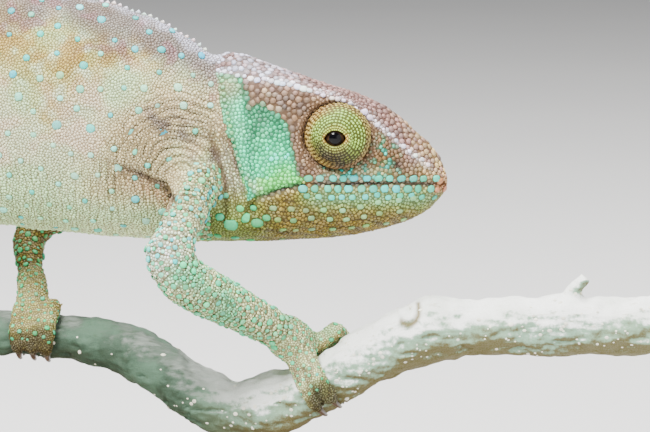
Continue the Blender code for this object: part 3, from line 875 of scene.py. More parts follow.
def spacingAt(local, regions):
    # the width of a scale at each place, in mm
    result = np.full(len(local), coatValues["elsewhere"])
    for word, value in coatValues["spacing"].items():
        result[kindOf(regions, word)] = value
    x, z = local[:, 0], sideHeight(local)
    head, tail = kindOf(regions, "head"), kindOf(regions, "tail")
    places = {
        "temple": head * smoothStep(-4, -8, x) * smoothStep(-3, 2, z),
        "cheek": head * within(cheekShape, x, z, 0.6),
        "crown": (head * smoothStep(8, 6, np.abs(local[:, 1]))
                  * smoothStep(9, 12, local[:, 2] + np.clip(x, 0, 30) * 0.75)),
        "nearEye": head * smoothStep(12, 10, np.hypot(x, local[:, 2])),
        "behindHead": head * smoothStep(1.2, 0, x - lobeRear(z)),
        "tip": tail * smoothStep(60, 0, np.hypot(x - coilAt[0], local[:, 2] - coilAt[1]) * 4),
    }
    for name, share in places.items():
        result += share * (coatValues[name] - result)
    return result


class Surface:
    # finds the nearest place, normal and unwrap position on a finished piece
    def __init__(self, piece):
        self.points, self.normals = meshArrays(piece.data)
        self.polygons = piece.data.polygons
        faces = [tuple(f.vertices) for f in self.polygons]
        self.tree = BVHTree.FromPolygons([Vector(p) for p in self.points], faces)
        uv = np.empty(len(piece.data.loops) * 2)
        piece.data.uv_layers["OFBake"].data.foreach_get("uv", uv)
        self.uv = uv.reshape(-1, 2)

    def near(self, points):
        places, normals, uvs = (np.empty((len(points), columns)) for columns in (3, 3, 2))
        for i, point in enumerate(points):
            place, _, face, _ = self.tree.find_nearest(Vector(point))
            polygon = self.polygons[face]
            corners = list(polygon.vertices)
            nearness = 1 / (np.linalg.norm(self.points[corners] - place, axis=1) + 1e-5)
            nearness /= nearness.sum()
            places[i] = place
            normals[i] = nearness @ self.normals[corners]
            uvs[i] = nearness @ self.uv[list(polygon.loop_indices)]
        return places, unit(normals), uvs


skinSurface = Surface(skin)


def lookFrom(side, x, z):
    # the place on the skin seen at x, z from the right (side -1) or the left (side 1)
    ahead, down = sideLook
    away = 60
    start = toWorld((x, spineY(x) + side * away, (z + away * down) / ahead))
    hit = skinSurface.tree.ray_cast(Vector(start), Vector((0, -side * ahead, -down)))
    return None if hit[0] is None else np.array(hit[0])


def isBare(local):
    # where no scale grows: under the eye turrets, in the mouth's line and in the nostrils
    x, z = local[:, 0], sideHeight(local)
    beside = np.abs(local[:, 1])
    socket = (np.hypot(x, local[:, 2]) < 8.3) & (beside > 6.5)
    mouth = (awayFrom(mouthLine, x, z) < 0.36) & (beside > 1.5) & (beside < 16)
    nostril = (np.hypot(x - nostrilAt[0], (z - nostrilAt[1]) * 1.2) < 0.8) & (beside > 2)
    return socket | mouth | nostril


def inCrease(local, corners):
    # thin lines between rows of scales, where bare skin shows; corners are the nearest points of the skin
    x, z = local[:, 0], sideHeight(local)
    wander, middle = cloud(local, 6.0, 1), cloud(local, 9, 12)
    sideways = np.abs(skinNormals[corners, 1])
    limb = (kindOf(skinRegions, "arm", "thigh", "shin") & (limbAmount(skinLocal, skinRegions) > 0.6))[corners]
    trunk = kindOf(skinRegions, "trunk", "neck", "upper_arm")[corners] & ~limb
    jaw = kindOf(skinRegions, "jaw")[corners]
    reach = fromShoulder(x, z)
    rows = {
        "shoulder": (trunk & (shoulderFade(reach, z) > 0.4), shoulderWaves(reach, wander)),
        "limb": (limb, limbRows(local, skinRegions[corners], wander)),
        "jaw": (jaw & (sideways > 0.6) & (z < -16.4), jawRows(x, z, middle)),
        "flank": (trunk & (sideways > 0.5) & (z < -11), flankRows(x, wander)),
    }
    bare = np.zeros(len(local), bool)
    for name, (where, wave) in rows.items():
        bare |= where & (np.sin(wave) < creaseValues[name])
    return bare


def scatter(tried, rooms, closeness, taken=(), held=()):
    # which of the tried places keep their room from the others
    size = 1.9 if closeness < 0.5 else 6.0  # of a cell, at least the widest room
    cells = {}

    def occupy(point, reach):
        i, j, k = (int(w // size) for w in point)
        entry = (*point, reach)
        for di in (-1, 0, 1):
            for dj in (-1, 0, 1):
                for dk in (-1, 0, 1):
                    cells.setdefault((i + di, j + dj, k + dk), []).append(entry)

    for point, reach in zip(taken, held):
        occupy(tuple(point), reach)
    kept = []
    for n, ((px, py, pz), reach) in enumerate(zip(tried.tolist(), rooms.tolist())):
        for qx, qy, qz, other in cells.get((int(px // size), int(py // size), int(pz // size)), ()):
            least = closeness * (reach + other)
            if (px - qx) ** 2 + (py - qy) ** 2 + (pz - qz) ** 2 < least * least:
                break
        else:
            occupy((px, py, pz), reach)
            kept.append(n)
    return kept


class BigScales:
    # scales that are set one by one, before the others fill the room between them
    def __init__(self):
        self.points, self.sizes, self.heights = [], [], []
        self.colours, self.pointed, self.strength = [], [], []

    def add(self, point, size, height, colour, pointed=0.0, strength=0.9):
        if point is not None:
            self.points.append(point)
            self.sizes.append(size)
            self.heights.append(height)
            self.colours.append(tone[colour] * (1 + dice.normal() * 0.04) + dice.normal(size=3) * 5)
            self.pointed.append(pointed)
            self.strength.append(strength)


big = BigScales()


# Single large scales by place and size in the side view, and the lines that rows of them follow.
rostralScales = ((27.0, -13.2, 1.1), (28.3, -15.2, 1.0), (26.2, -15.4, 0.9))
jawCluster = ((-27.9, -24.7, 2.0), (-24.0, -22.9, 1.9), (-21.1, -24.2, 1.7), (-25.4, -20.4, 1.2),
              (-30.8, -22.6, 1.3), (-22.0, -20.2, 1.0), (-18.6, -22.9, 1.2), (-29.2, -17.0, 1.0),
              (-27.0, -28.0, 1.3), (-23.0, -28.6, 1.3), (-31.5, -27.5, 1.1))
chinRows = (-20.6, -23.2, -25.8, -28.4)
crestPath = ((-33, 4), (-15, 9.6), (-3, 10.2), (9, 8.6), (17, 6.6), (25, 4.6), (29, 1.4))  # from the middle
crestSizes = ((-32, 0.75), (-10, 0.85), (25, 0.6))
coneSizes = ((35, 0.75), (60, 1.0), (170, 0.9), (186, 0.65))  # by distance to the rear


def setLipScales(side):
    for step in range(12):
        x = 26.0 - step * 3.05 + dice.normal() * 0.2
        wide = 1.2 + 0.1 * dice.normal()
        upper, lower, chin = 0.5 + 0.45 * dice.random(3)
        big.add(lookFrom(side, x, -12.55), (wide, 0.86), 0.28, "lip", 0, upper)
        big.add(lookFrom(side, x - 1.4, -15.25), (wide, 1.0), 0.3, "lip", 0, lower)
        point = lookFrom(side, x - 0.4, -17.3 + dice.normal() * 0.2)
        big.add(point, (0.95, 0.75), 0.26, "lip", 0, chin - 0.15)
    for x, z, size in rostralScales:
        big.add(lookFrom(side, x, z), (size, size * 0.85), 0.5, "rostral")


def setJawScales(side):
    for x, z, size in jawCluster:
        big.add(lookFrom(side, x, z), (size, size * 0.75), 0.5, "limbSpot", 0, 0.6 + 0.3 * dice.random())
    for row, z in enumerate(chinRows):
        for step in range(10):
            x = 20 - step * 4.7 - (row % 2) * 2.3 - row * 1.2 + dice.normal() * 0.5
            if x > -19:
                point = lookFrom(side, x, z + max(x, 0) * 0.13 + dice.normal() * 0.3)
                big.add(point, (0.95 + 0.15 * dice.random(), 0.7), 0.36, "chinSpot", 0,
                        0.4 + 0.4 * dice.random())


def setCrestScales(side):
    for x in np.arange(-31.5, 25.0, 1.75):
        y, z = readTable(crestPath, x), readTable(casqueLine, x)
        size = readTable(crestSizes, x) * (1 + 0.16 * dice.normal())
        place = (x + 0.2 * dice.normal(), side * (y + 0.3), z + 0.3 + 0.25 * dice.normal())
        big.add(toWorld(place), (size * 1.15, size * 0.9), 0.45, "crest", 0.2, 0.6 + 0.4 * dice.random())
    for z in np.arange(-16.0, 15.0, 1.7):
        big.add(lookFrom(side, lobeRear(z) + 0.4, z), (0.72, 0.6), 0.6, "lobeEdge", 0.6)


def setBackCones():
    for x in np.arange(-35.0, -186.0, -1.6):
        size = readTable(coneSizes, -x) * (0.85 + 0.3 * dice.random())
        hit = skinSurface.tree.ray_cast(Vector(toWorld((x, spineY(x), 80))), Vector((0, 0, -1)))
        if hit[0] is not None:
            big.add(np.array(hit[0]), (size, size * 0.8), 0.75 + 0.4 * dice.random(), "cone", 1.0)


def setSpots():
    # the large flat scales strewn over the trunk, limbs and tail
    x, z = skinLocal[:, 0], skinLocal[:, 2]
    amount = limbAmount(skinLocal, skinRegions)
    limb = amount > 0.5
    high = skinRegions == "right_upper_arm"
    onFeet = kindOf(skinRegions, "hand", "foot")
    onTips = onFeet & (np.abs(roundBranch(skinLocal)[1]) > 88)
    wide = kindOf(skinRegions, "trunk", "neck") & ~limb
    tail = kindOf(skinRegions, "tail")
    rooms = np.where(wide, 5.0, np.where(limb, 1.3 + 1.3 * dice.random(len(skinPoints)), 4.0))
    rooms = np.where(wide & (x > -38) & (z < -6), 3.6, rooms)
    bare = isBare(skinLocal) | onTips | (limb & (amount < dice.random(len(skinPoints))))
    bare |= wide & (x > -50) & (sideHeight(skinLocal) < 2) & (dice.random(len(skinPoints)) < 0.9)
    order = [i for i in dice.permutation(len(skinPoints)) if (wide[i] or limb[i] or tail[i]) and not bare[i]]
    for k in scatter(skinLocal[order], rooms[order], 0.5):
        i = order[k]
        if wide[i]:
            upper = z[i] > 16
            size = 0.68 + 0.55 * dice.random() ** 2
            colour = "spot" if dice.random() < (0.8 if upper else 0.3) else "paleSpot"
            strength = (0.6 if upper else 0.4) + 0.4 * dice.random()
            big.add(skinPoints[i], (size * 1.1, size), 0.36, colour, 0, strength)
        elif limb[i]:
            size = rooms[i] * (0.26 if onFeet[i] else 0.36)
            colour = "spot" if high[i] and dice.random() < 0.5 else "limbSpot"
            big.add(skinPoints[i], (size * 1.1, size), size * 0.5, colour, 0, 0.35 + 0.5 * dice.random())
        else:
            size = 0.6 + 0.2 * dice.random()
            big.add(skinPoints[i], (size, size), 0.4, "paleSpot")


for side in (-1, 1):
    setLipScales(side)
    setJawScales(side)
    setCrestScales(side)
setBackCones()
setSpots()
print("coat:", len(big.points), "large scales set")


def scatterPlaces():
    # fills the skin with places that keep their spacing from each other
    mesh = skin.data
    mesh.calc_loop_triangles()
    corners = np.empty(len(mesh.loop_triangles) * 3, int)
    mesh.loop_triangles.foreach_get("vertices", corners)
    corners = corners.reshape(-1, 3)
    a, b, c = (skinPoints[corners[:, k]] / mm for k in range(3))
    areas = np.linalg.norm(np.cross(b - a, c - a), axis=1) / 2
    vertexRoom = spacingAt(skinLocal, skinRegions)
    room = vertexRoom[corners].mean(1)
    weight = areas / room ** 2
    count = int(weight.sum() * coatValues["crowding"])
    picks = dice.choice(len(weight), count, p=weight / weight.sum())
    u, v = dice.random(count), dice.random(count)
    flip = u + v > 1
    u[flip], v[flip] = 1 - u[flip], 1 - v[flip]
    tried = a[picks] + u[:, None] * (b - a)[picks] + v[:, None] * (c - a)[picks]
    growing = ~(isBare(tried - eyeAt / mm) | inCrease(tried - eyeAt / mm, corners[picks, 0]))
    tried, rooms = tried[growing], room[picks][growing]
    taken = np.array(big.points) / mm
    held = np.array(big.sizes).sum(1) - 0.1
    kept = scatter(tried, rooms, coatValues["closeness"], taken, held)
    return tried[kept] * mm


def nearestOthers(points, count):
    # which other places are nearest to each place
    tree = KDTree(len(points))
    for i, point in enumerate(points):
        tree.insert(point, i)
    tree.balance()
    return np.array([[hit[1] for hit in tree.find_n(point, count + 1)][1:] for point in points])


def spread(points, fixed, reach):
    # evens the places out along the skin
    for _ in range(coatValues["evening"]):
        others = nearestOthers(points, 7)
        apart = points[:, None] - points[others]
        length = np.linalg.norm(apart, axis=2) + 1e-9
        want = 0.5 * (reach[:, None] + reach[others]) * 1.06 * mm
        push = np.clip(want - length, 0, None)
        move = (apart / length[..., None] * push[..., None]).sum(1) * 0.3
        move[:fixed] = 0
        points = points + move
        points, _, _ = skinSurface.near(points)
    return points


def makeTemplate(sides, levels):
    # a closed scale, rings of a radius and a height from under the skin to its top
    bm = bmesh.new()
    ring = bmesh.ops.create_circle(bm, cap_ends=True, radius=levels[0][0], segments=sides)["verts"]
    bmesh.ops.translate(bm, verts=ring, vec=(0, 0, levels[0][1]))
    edges = list(bm.edges)
    for (before, _), (radius, height) in zip(levels, levels[1:]):
        verts, edges = extrudeRing(bm, edges)
        bmesh.ops.scale(bm, vec=(radius / before, radius / before, 1), verts=verts)
        for vert in verts:
            vert.co.z = height
    lid = bmesh.ops.holes_fill(bm, edges=edges, sides=sides)["faces"]
    tip = bmesh.ops.poke(bm, faces=lid)["verts"][0]
    tip.co.z = 1.0
    bmesh.ops.recalc_face_normals(bm, faces=bm.faces)
    return meshFrom(bm, "template")


def anglesRound(sides):
    return np.arange(sides) * 2 * np.pi / sides


def ovalWidths(long, wide):
    # how far an eight-sided scale reaches towards each of its corners
    around = anglesRound(8)
    return 1 / np.sqrt((np.cos(around) / long[:, None]) ** 2 + (np.sin(around) / wide[:, None]) ** 2)


def tile(name, template, roots, normals, tangents, widths, heights, uvs, colours, sink, pointed=None):
    # one joined mesh with a copy of the template at each root
    co, _ = meshArrays(template)
    corners = np.empty(len(template.loops), int)
    template.loops.foreach_get("vertex_index", corners)
    starts, totals = np.empty(len(template.polygons), int), np.empty(len(template.polygons), int)
    template.polygons.foreach_get("loop_start", starts)
    template.polygons.foreach_get("loop_total", totals)
    count, sides = len(roots), widths.shape[1]
    angle = np.arctan2(co[:, 1], co[:, 0]) % (2 * np.pi)
    which = np.round(angle / (2 * np.pi) * sides).astype(int) % sides
    ring = np.hypot(co[:, 0], co[:, 1])
    binormals = np.cross(normals, tangents)
    flat = ring[None] * widths[:, which]
    if pointed is not None:
        flat = flat * (1 - pointed[:, None] * np.clip(co[:, 2], 0, 1)[None] * 0.75)
    height = np.where(co[None, :, 2] < 0, -sink, co[None, :, 2] * heights[:, None])
    points = roots[:, None] + (flat * np.cos(angle))[..., None] * tangents[:, None] * mm
    across = (flat * np.sin(angle))[..., None] * binormals[:, None] * mm
    points += across + height[..., None] * normals[:, None] * mm
    mesh = bpy.data.meshes.new(name)
    mesh.vertices.add(count * len(co))
    mesh.vertices.foreach_set("co", points.astype(np.float32).ravel())
    shift = np.arange(count)[:, None]
    mesh.loops.add(count * len(corners))
    mesh.loops.foreach_set("vertex_index", (corners[None] + shift * len(co)).astype(np.int32).ravel())
    mesh.polygons.add(count * len(starts))
    mesh.polygons.foreach_set("loop_start", (starts[None] + shift * len(corners)).astype(np.int32).ravel())
    mesh.update(calc_edges=True)
    layer = mesh.uv_layers.new(name="OFBake")
    patch = uvs[:, None] + co[corners][None, :, :2] * coatValues["patch"]
    layer.data.foreach_set("uv", patch.astype(np.float32).ravel())
    keepColour(mesh, "hide", np.repeat(toLinear(colours, coatValues["vivid"]), len(co), axis=0))
    keepNumber(mesh, "lift", np.tile(np.clip(co[:, 2], 0, 1), count))
    mesh.shade_smooth()
    return mesh


def hideMaterial(name, gloss, groundTint):
    # scales in their own colours, darker at the foot (partly the browner skin between them, partly painted
    # shade in the gaps), with fine wear and pores and a faint painted sheen on their tops
    made, s = newMaterial(name)
    place = s.place()
    hide, lift = s.attribute("hide", "Color"), s.attribute("lift")
    speckle = s.noise(1400, 3, place).ramp(0.35, 0.7)
    mottle = s.noise(260, 2, place).ramp(0.3, 0.7)
    # darker towards the foot of each scale: partly the browner skin, partly painted shade
    ground = lift.ramp(0.05, 0.62).mix(s.tinted(hide, groundTint), hide)
    worn = (speckle * 0.22).mix(ground, s.tinted(ground, (0.72, 0.66, 0.6)))
    # a faint pale sheen painted on the scale tops
    colour = (mottle * 0.07 * lift).mix(worn, (0.86, 0.88, 0.9))
    rough = 0.62 - lift * 0.16 + speckle * 0.1
    height = s.noise(2600, 2, place) + s.noise(700, 2, place) * 0.6
    return finishMaterial(made, s, {"Base Color": colour, "Roughness": rough, "Specular IOR Level": gloss},
                          height, 0.06)


skinMaterial = hideMaterial("chameleonHide", 0.35, (0.40, 0.35, 0.29))
giveMaterial(skin.data, skinMaterial)
keepColour(skin.data, "hide", toLinear(paint(skinLocal, skinRegions), coatValues["vivid"]))
keepNumber(skin.data, "lift", np.zeros(len(skinPoints)))
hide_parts(*fleshNames)
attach(skin, "root")


def tangentAlong(normals, direction):
    tangents = np.asarray(direction, float) - normals * (normals @ np.asarray(direction, float))[:, None]
    return tangents / (np.linalg.norm(tangents, axis=1)[:, None] + 1e-9)


def hexWidths(places, normals, reach, small):
    # how far each scale grows towards its six corners before it meets a neighbour, and its direction
    others = nearestOthers(places, 9)
    towards = (places[others] - places[:, None]) / mm
    tangents = tangentAlong(normals, (1, 0, 0))
    flat = towards[:, 0] - normals * (towards[:, 0] * normals).sum(1)[:, None]
    tangents[small] = (flat / (np.linalg.norm(flat, axis=1)[:, None] + 1e-9))[small]
    turn = np.pi / 6
    turned = tangents * np.cos(turn) + np.cross(normals, tangents) * np.sin(turn)
    tangents[small] = turned[small]
    binormals = np.cross(normals, tangents)
    u, v = (towards * tangents[:, None]).sum(2), (towards * binormals[:, None]).sum(2)
    length = np.hypot(u, v) + 1e-9
    share = reach[:, None] / (reach[:, None] + reach[others])
    angles = np.arange(6) * np.pi / 3
    facing = u[:, None] * np.cos(angles)[None, :, None] + v[:, None] * np.sin(angles)[None, :, None]
    facing = facing / length[:, None]
    limit = np.where(facing > 0.25, (length * share)[:, None] / np.clip(facing, 0.25, None), 9.0)
    return limit.min(2), tangents


coatGroups = {"head": ("head", "jaw", "lobe"), "trunk": ("trunk", "neck"), "tail": ("tail",),
              "limb": limbWords}


def growCoat():
    filled = scatterPlaces()
    print("coat:", len(filled), "small scales set")
    fixed = len(big.points)
    points = np.vstack([np.array(big.points), filled])
    sizes = np.array(big.sizes)
    small = np.arange(len(points)) >= fixed
    reach = spacingAt(toLocal(points), regionsOf(points))
    reach[:fixed] = sizes.sum(1)
    places, normals, uvs = skinSurface.near(spread(points, fixed, reach))
    local, regions = toLocal(places), regionsOf(places)
    trunk = kindOf(regions, "trunk", "neck")
    unevenness = np.where(kindOf(regions, "head", "jaw"), 0.4, np.where(trunk, 0.16, 0.34))
    colours = dim(paint(local, regions), dice.random(len(points)), unevenness)
    strength = np.array(big.strength)[:, None]
    colours[:fixed] = colours[:fixed] * (1 - strength) + np.array(big.colours) * strength

    limit, tangents = hexWidths(places, normals, reach, small)
    gaps = np.where(trunk | kindOf(regions, "tail"), *coatValues["gap"])
    widths = np.clip(limit - gaps[:, None], 0.3 * reach[:, None], 0.95 * reach[:, None])
    heights = widths.mean(1) * 2 * (1 + 0.15 * dice.normal(size=len(points)))
    heights *= np.where(trunk, coatValues["trunkHeight"], coatValues["height"])
    cheek = kindOf(regions, "lobe") | (kindOf(regions, "head") & (local[:, 0] < -9) & (sideHeight(local) < 5))
    heights *= np.where(cheek, coatValues["cheekFlatness"], 1)

    coat = []

    def addScales(name, group, template, part, widths, heights, pointed=None):
        mesh = tile(name, template, places[part], normals[part], tangents[part], widths, heights, uvs[part],
                    colours[part], 0.3, pointed)
        coat.append((addObject(name, mesh, skinMaterial), group))

    granule = makeTemplate(6, [(1.0, -1.0), (0.9, 0.64)])
    for group, words in coatGroups.items():
        chosen = np.nonzero(kindOf(regions, *words) & small)[0]
        chosen = chosen[np.argsort(local[chosen, 0])]
        for n, part in enumerate(np.array_split(chosen, len(chosen) // coatValues["perPiece"] + 1)):
            addScales(f"coat_{group}_{n + 1}", group, granule, part, widths[part], heights[part])

    # the large scales have the outline of a rounded square
    tubercle = makeTemplate(10, [(1.0, -1.0), (0.9, 0.45), (0.55, 0.86)])
    around, power = anglesRound(10), 2.6
    across, beside = np.cos(around) / sizes[:, :1], np.sin(around) / sizes[:, 1:]
    squarish = (np.abs(across) ** power + np.abs(beside) ** power) ** (-1 / power)
    squarish *= 1 + 0.06 * dice.normal(size=squarish.shape)
    bigHeights, pointed = np.array(big.heights), np.array(big.pointed)
    for group, words in coatGroups.items():
        part = np.nonzero(kindOf(regions, *words) & ~small)[0]
        addScales(f"tubercles_{group}", group, tubercle, part, squarish[part], bigHeights[part],
                  pointed[part])
    for template in (granule, tubercle):
        bpy.data.meshes.remove(template)
    for piece, group in coat:
        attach(piece, "root")


growCoat()
print("coat: grown")


eyeValues = {
    "profile": ((2.45, 5.6), (2.3, 6.6), (2.4, 7.05), (2.75, 7.2), (4.4, 6.6), (6.3, 5.3), (7.7, 3.5),
                (8.35, 1.6), (8.55, -0.6), (8.5, -2.4)),
    "halfLength": 3.1, "halfHeight": 2.25, "opening": 1.18, "rearwards": -0.7,  # of the lids' opening
    "fromMiddle": 9.6,  # from the head's middle to the turret's foot
    "ball": 3.45, "ballHeight": 3.55, "cornea": 0.22,
    "rowPitch": (0.6, 1.08), "bead": (0.46, 0.36, 0.62),  # half length, half width and height, in pitches
    # the dark lower colour is partly painted shade beneath the turret
    "beads": {"rim": (222, 206, 140), "inner": (190, 194, 118), "upper": (176, 200, 124),
              "lower": (50, 40, 18), "rear": (176, 164, 112), "outer": (146, 124, 92)},
}


def turretPlaces(reach, height, angle, side):
    # places beside the head, from a reach, height and angle on the turret, whose opening is almond-shaped
    half, tall = eyeValues["halfLength"], eyeValues["halfHeight"]
    bow = (half ** 2 + tall ** 2) / (2 * tall)
    offset = bow - tall
    sine = np.abs(np.sin(angle))
    lens = -offset * sine + np.sqrt(offset ** 2 * sine ** 2 - offset ** 2 + bow ** 2)
    blend = smoothStep(5.0, 2.7, reach)
    spread = reach * (1 - blend + blend * lens / half * eyeValues["opening"])
    shift = eyeValues["rearwards"] * smoothStep(8.3, 4.0, reach)
    away = side * (eyeValues["fromMiddle"] + height)
    return toWorld(np.stack([spread * np.cos(angle) + shift, away, spread * np.sin(angle)], -1))


def turretProfile(count):
    # even points on the rounded outline of the turret, and how far along it they lie
    table = np.array(eyeValues["profile"])
    for _ in range(3):
        middle = (table[:-1] + table[1:]) / 2
        cut = np.stack([table[:-1] * 0.5 + middle * 0.5, middle * 0.5 + table[1:] * 0.5], 1)
        table = np.vstack([table[:1], cut.reshape(-1, 2), table[-1:]])
    along = lengthsAlong(table)
    marks = np.linspace(0, along[-1], count)
    return np.stack([np.interp(marks, along, table[:, k]) for k in (0, 1)], -1), marks


def buildTurret(name, side):
    profile, _ = turretProfile(70)
    bm = bmesh.new()
    verts = [bm.verts.new((r, 0, h)) for r, h in profile]
    edges = [bm.edges.new(pair) for pair in zip(verts, verts[1:])]
    bmesh.ops.spin(bm, geom=verts + edges, cent=(0, 0, 0), axis=(0, 0, 1), angle=2 * math.pi, steps=96,
                   use_merge=True)
    reach = np.array([math.hypot(v.co.x, v.co.y) for v in bm.verts])
    angle = np.array([math.atan2(v.co.y, v.co.x) for v in bm.verts])
    height = np.array([v.co.z for v in bm.verts])
    for vert, point in zip(bm.verts, turretPlaces(reach, height, angle, side)):
        vert.co = point
    rims = [e for e in bm.edges if e.is_boundary]
    bmesh.ops.holes_fill(bm, edges=rims, sides=200)
    bmesh.ops.recalc_face_normals(bm, faces=bm.faces)
    mesh = meshFrom(bm, name)
    local = toLocal(meshArrays(mesh)[0])
    keepColour(mesh, "hide", toLinear(beadColours(local), coatValues["vivid"]))
    keepNumber(mesh, "lift", np.zeros(len(local)))
    mesh.shade_smooth()
    made = addObject(name, mesh, turretMaterial)
    unwrap(made)
    return made


def beadColours(local):
    shades = {name: np.array(rgb, float) for name, rgb in eyeValues["beads"].items()}
    x, z = local[:, 0] - eyeValues["rearwards"] * 0.7, local[:, 2]
    ring = np.hypot(x, z)
    layers = {
        "upper": smoothStep(-7.6, 0.6, z + 0.3 * x + cloud(local, 3.0, 31)),
        "inner": smoothStep(4.4, 3.0, ring) * 0.6,
        "rear": smoothStep(5.6, 7.4, ring) * smoothStep(2.5, -4, x),
        "outer": smoothStep(7.2, 8.4, ring) * 0.7,
        "rim": smoothStep(3.7, 3.0, ring) * smoothStep(1.6, 0.7, np.abs(z)),
    }
    # the dark lower part of the turret: partly its olive-brown colour, partly painted shade beneath it
    rgb = shades["lower"]
    for name, share in layers.items():
        rgb = rgb * (1 - share[:, None]) + shades[name] * share[:, None]
    return rgb


def buildBeads(name, side, turret):
    # rows of granules round the turret, from the rim of its opening down to the head
    profile, marks = turretProfile(400)
    long, wide, tall = eyeValues["bead"]
    places, normals, tangents, sizes = [], [], [], []
    mark = marks[np.argmax(profile[:, 1])] + 0.05
    for row in range(100):
        r, h = (np.interp(mark, marks, profile[:, k]) for k in (0, 1))
        if h < -0.2:
            break
        pitch = np.interp(r, (2.6, 8.4), eyeValues["rowPitch"])
        count = int(2 * np.pi * r / (pitch * 1.05))
        angle = (np.arange(count) + 0.5 * (row % 2) + 0.12 * dice.normal(size=count)) * 2 * np.pi / count
        r, h = np.full(count, r), np.full(count, h)
        ring = turretPlaces(r, h, angle, side)
        below = (np.full(count, np.interp(mark + 0.1, marks, profile[:, k])) for k in (0, 1))
        outwards = turretPlaces(*below, angle, side) - ring
        beside = turretPlaces(r, h, angle + 0.02, side) - ring
        normals.append(unit(np.cross(beside, outwards) * side))
        tangents.append(unit(beside))
        places.append(ring)
        share = 1 + 0.08 * dice.normal(size=count)
        sizes.append(np.stack([share * pitch * long, share * pitch * wide], -1))
        mark += pitch
    places, normals, tangents, sizes = (np.concatenate(a) for a in (places, normals, tangents, sizes))
    outwards = ((places - toWorld((0, side * eyeValues["fromMiddle"], 0))) * normals).sum(1)
    normals[outwards < 0] *= -1
    bead = makeTemplate(8, [(1.0, -1.0), (0.93, 0.35), (0.6, 0.82)])
    colours = dim(beadColours(toLocal(places)), dice.random(len(places)), 0.16)
    uvs = Surface(turret).near(places)[2]
    mesh = tile(name, bead, places, normals, tangents, ovalWidths(sizes[:, 0], sizes[:, 1]),
                sizes.mean(1) * tall, uvs, colours, 0.15)
    bpy.data.meshes.remove(bead)
    return addObject(name, mesh, turretMaterial)


def ballMaterial():
    made, s = newMaterial("eyeball")
    ring = s.attribute("ring")
    iris = s.noise(900, 3, s.place()).ramp(0.3, 0.7).mix((0.012, 0.008, 0.006), (0.05, 0.026, 0.012))
    colour = ring.ramp(0.42, 0.5).mix((0.002, 0.002, 0.003), iris)
    edge = ring.ramp(0.62, 0.74).mix(colour, (0.004, 0.003, 0.003))
    return finishMaterial(made, s, {"Base Color": edge, "Roughness": ring * 0.02 + 0.06,
                                    "Specular IOR Level": 0.16})


def buildBall(name, side):
    radius, away = eyeValues["ball"], side * (eyeValues["fromMiddle"] + eyeValues["ballHeight"])
    bm = bmesh.new()
    bmesh.ops.create_uvsphere(bm, u_segments=64, v_segments=32, radius=radius)
    for vert in bm.verts:
        if vert.co.z > 0:
            vert.co.z += eyeValues["cornea"] * math.exp(-(math.hypot(vert.co.x, vert.co.y) / 1.5) ** 2)
    rings = [math.hypot(v.co.x, v.co.y) / radius if v.co.z > 0 else 1.0 for v in bm.verts]
    turn = Matrix(((1, 0, 0), (0, 0, side), (0, 1, 0)))
    for vert in bm.verts:
        local = turn @ vert.co
        vert.co = toWorld((local.x + eyeValues["rearwards"], local.y + away, local.z))
    bmesh.ops.recalc_face_normals(bm, faces=bm.faces)
    mesh = meshFrom(bm, name)
    keepNumber(mesh, "ring", rings)
    mesh.shade_smooth()
    return addObject(name, mesh, eyeMaterial)


# darker between the rings of beads: partly the turret's dark skin, partly painted shade
turretMaterial = hideMaterial("turretHide", 0.35, (0.2, 0.14, 0.09))
eyeMaterial = ballMaterial()
for word, side in (("right", -1), ("left", 1)):
    turret = buildTurret(word + "_turret_skin", side)
    beads = buildBeads(word + "_turret_scales", side, turret)
    ball = buildBall(word + "_eyeball", side)
    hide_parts(word + "_eye_turret")
    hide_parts(word + "_eye")
    for piece, finish in ((turret, "turret_skin"), (beads, "turret_skin"), (ball, "eyeball")):
        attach(piece, "root")
print("eyes: made")


clawValues = {
    "radius": 1.15, "flatness": 0.8,
    "from": 116, "to": 166,  # degrees round the branch
    "clearance": (1.7, 0.55),  # from the bark, at the root and at the tip
    "steps": 8, "sides": 10,
}


def clawMaterial():
    made, s = newMaterial("claw")
    streak = s.noise(900, 3, s.place()).ramp(0.3, 0.75)
    colour = streak.mix((0.035, 0.022, 0.014), (0.11, 0.075, 0.05))
    return finishMaterial(made, s, {"Base Color": colour, "Roughness": streak * 0.15 + 0.28}, streak, 0.04)


def branchAt(mark, key):
    # a value of the branch's middle line at a distance along it
    values = branchLine[key].reshape(len(branchLine["along"]), -1)
    return np.array([np.interp(mark, branchLine["along"], column) for column in values.T])


def addClaw(bm, side, mark):
    # a curved cone that is extruded ring by ring round the branch
    keys = ("centre", "onward", "up", "right", "radius")
    centre, onward, up, right, radius = (branchAt(mark, key) for key in keys)
    sides, steps, flatness = clawValues["sides"], clawValues["steps"], clawValues["flatness"]
    near, far = clawValues["clearance"]
    loop = bmesh.ops.create_circle(bm, cap_ends=True, radius=1.0, segments=sides)["verts"]
    edges = list(dict.fromkeys(e for v in loop for e in v.link_edges))
    for step in range(steps + 1):
        share = step / steps
        angle = math.radians(clawValues["from"] + (clawValues["to"] - clawValues["from"]) * share)
        outwards = up * math.cos(angle) + right * side * math.sin(angle)
        middle = centre + outwards * (radius + near + (far - near) * share)
        thick = clawValues["radius"] * ((1 - share) ** 0.8 + 0.07)
        if step:
            loop, edges = extrudeRing(bm, edges)
        for vert in loop:
            u, v = vert.co.x, vert.co.y
            if step:
                place = toLocal(vert.co) - lastMiddle
                u, v = place @ onward / lastThick / flatness, place @ lastOut / lastThick
            vert.co = Vector(toWorld(middle + (onward * u * flatness + outwards * v) * thick))
        lastMiddle, lastOut, lastThick = middle, outwards, thick
    bmesh.ops.holes_fill(bm, edges=edges, sides=sides)


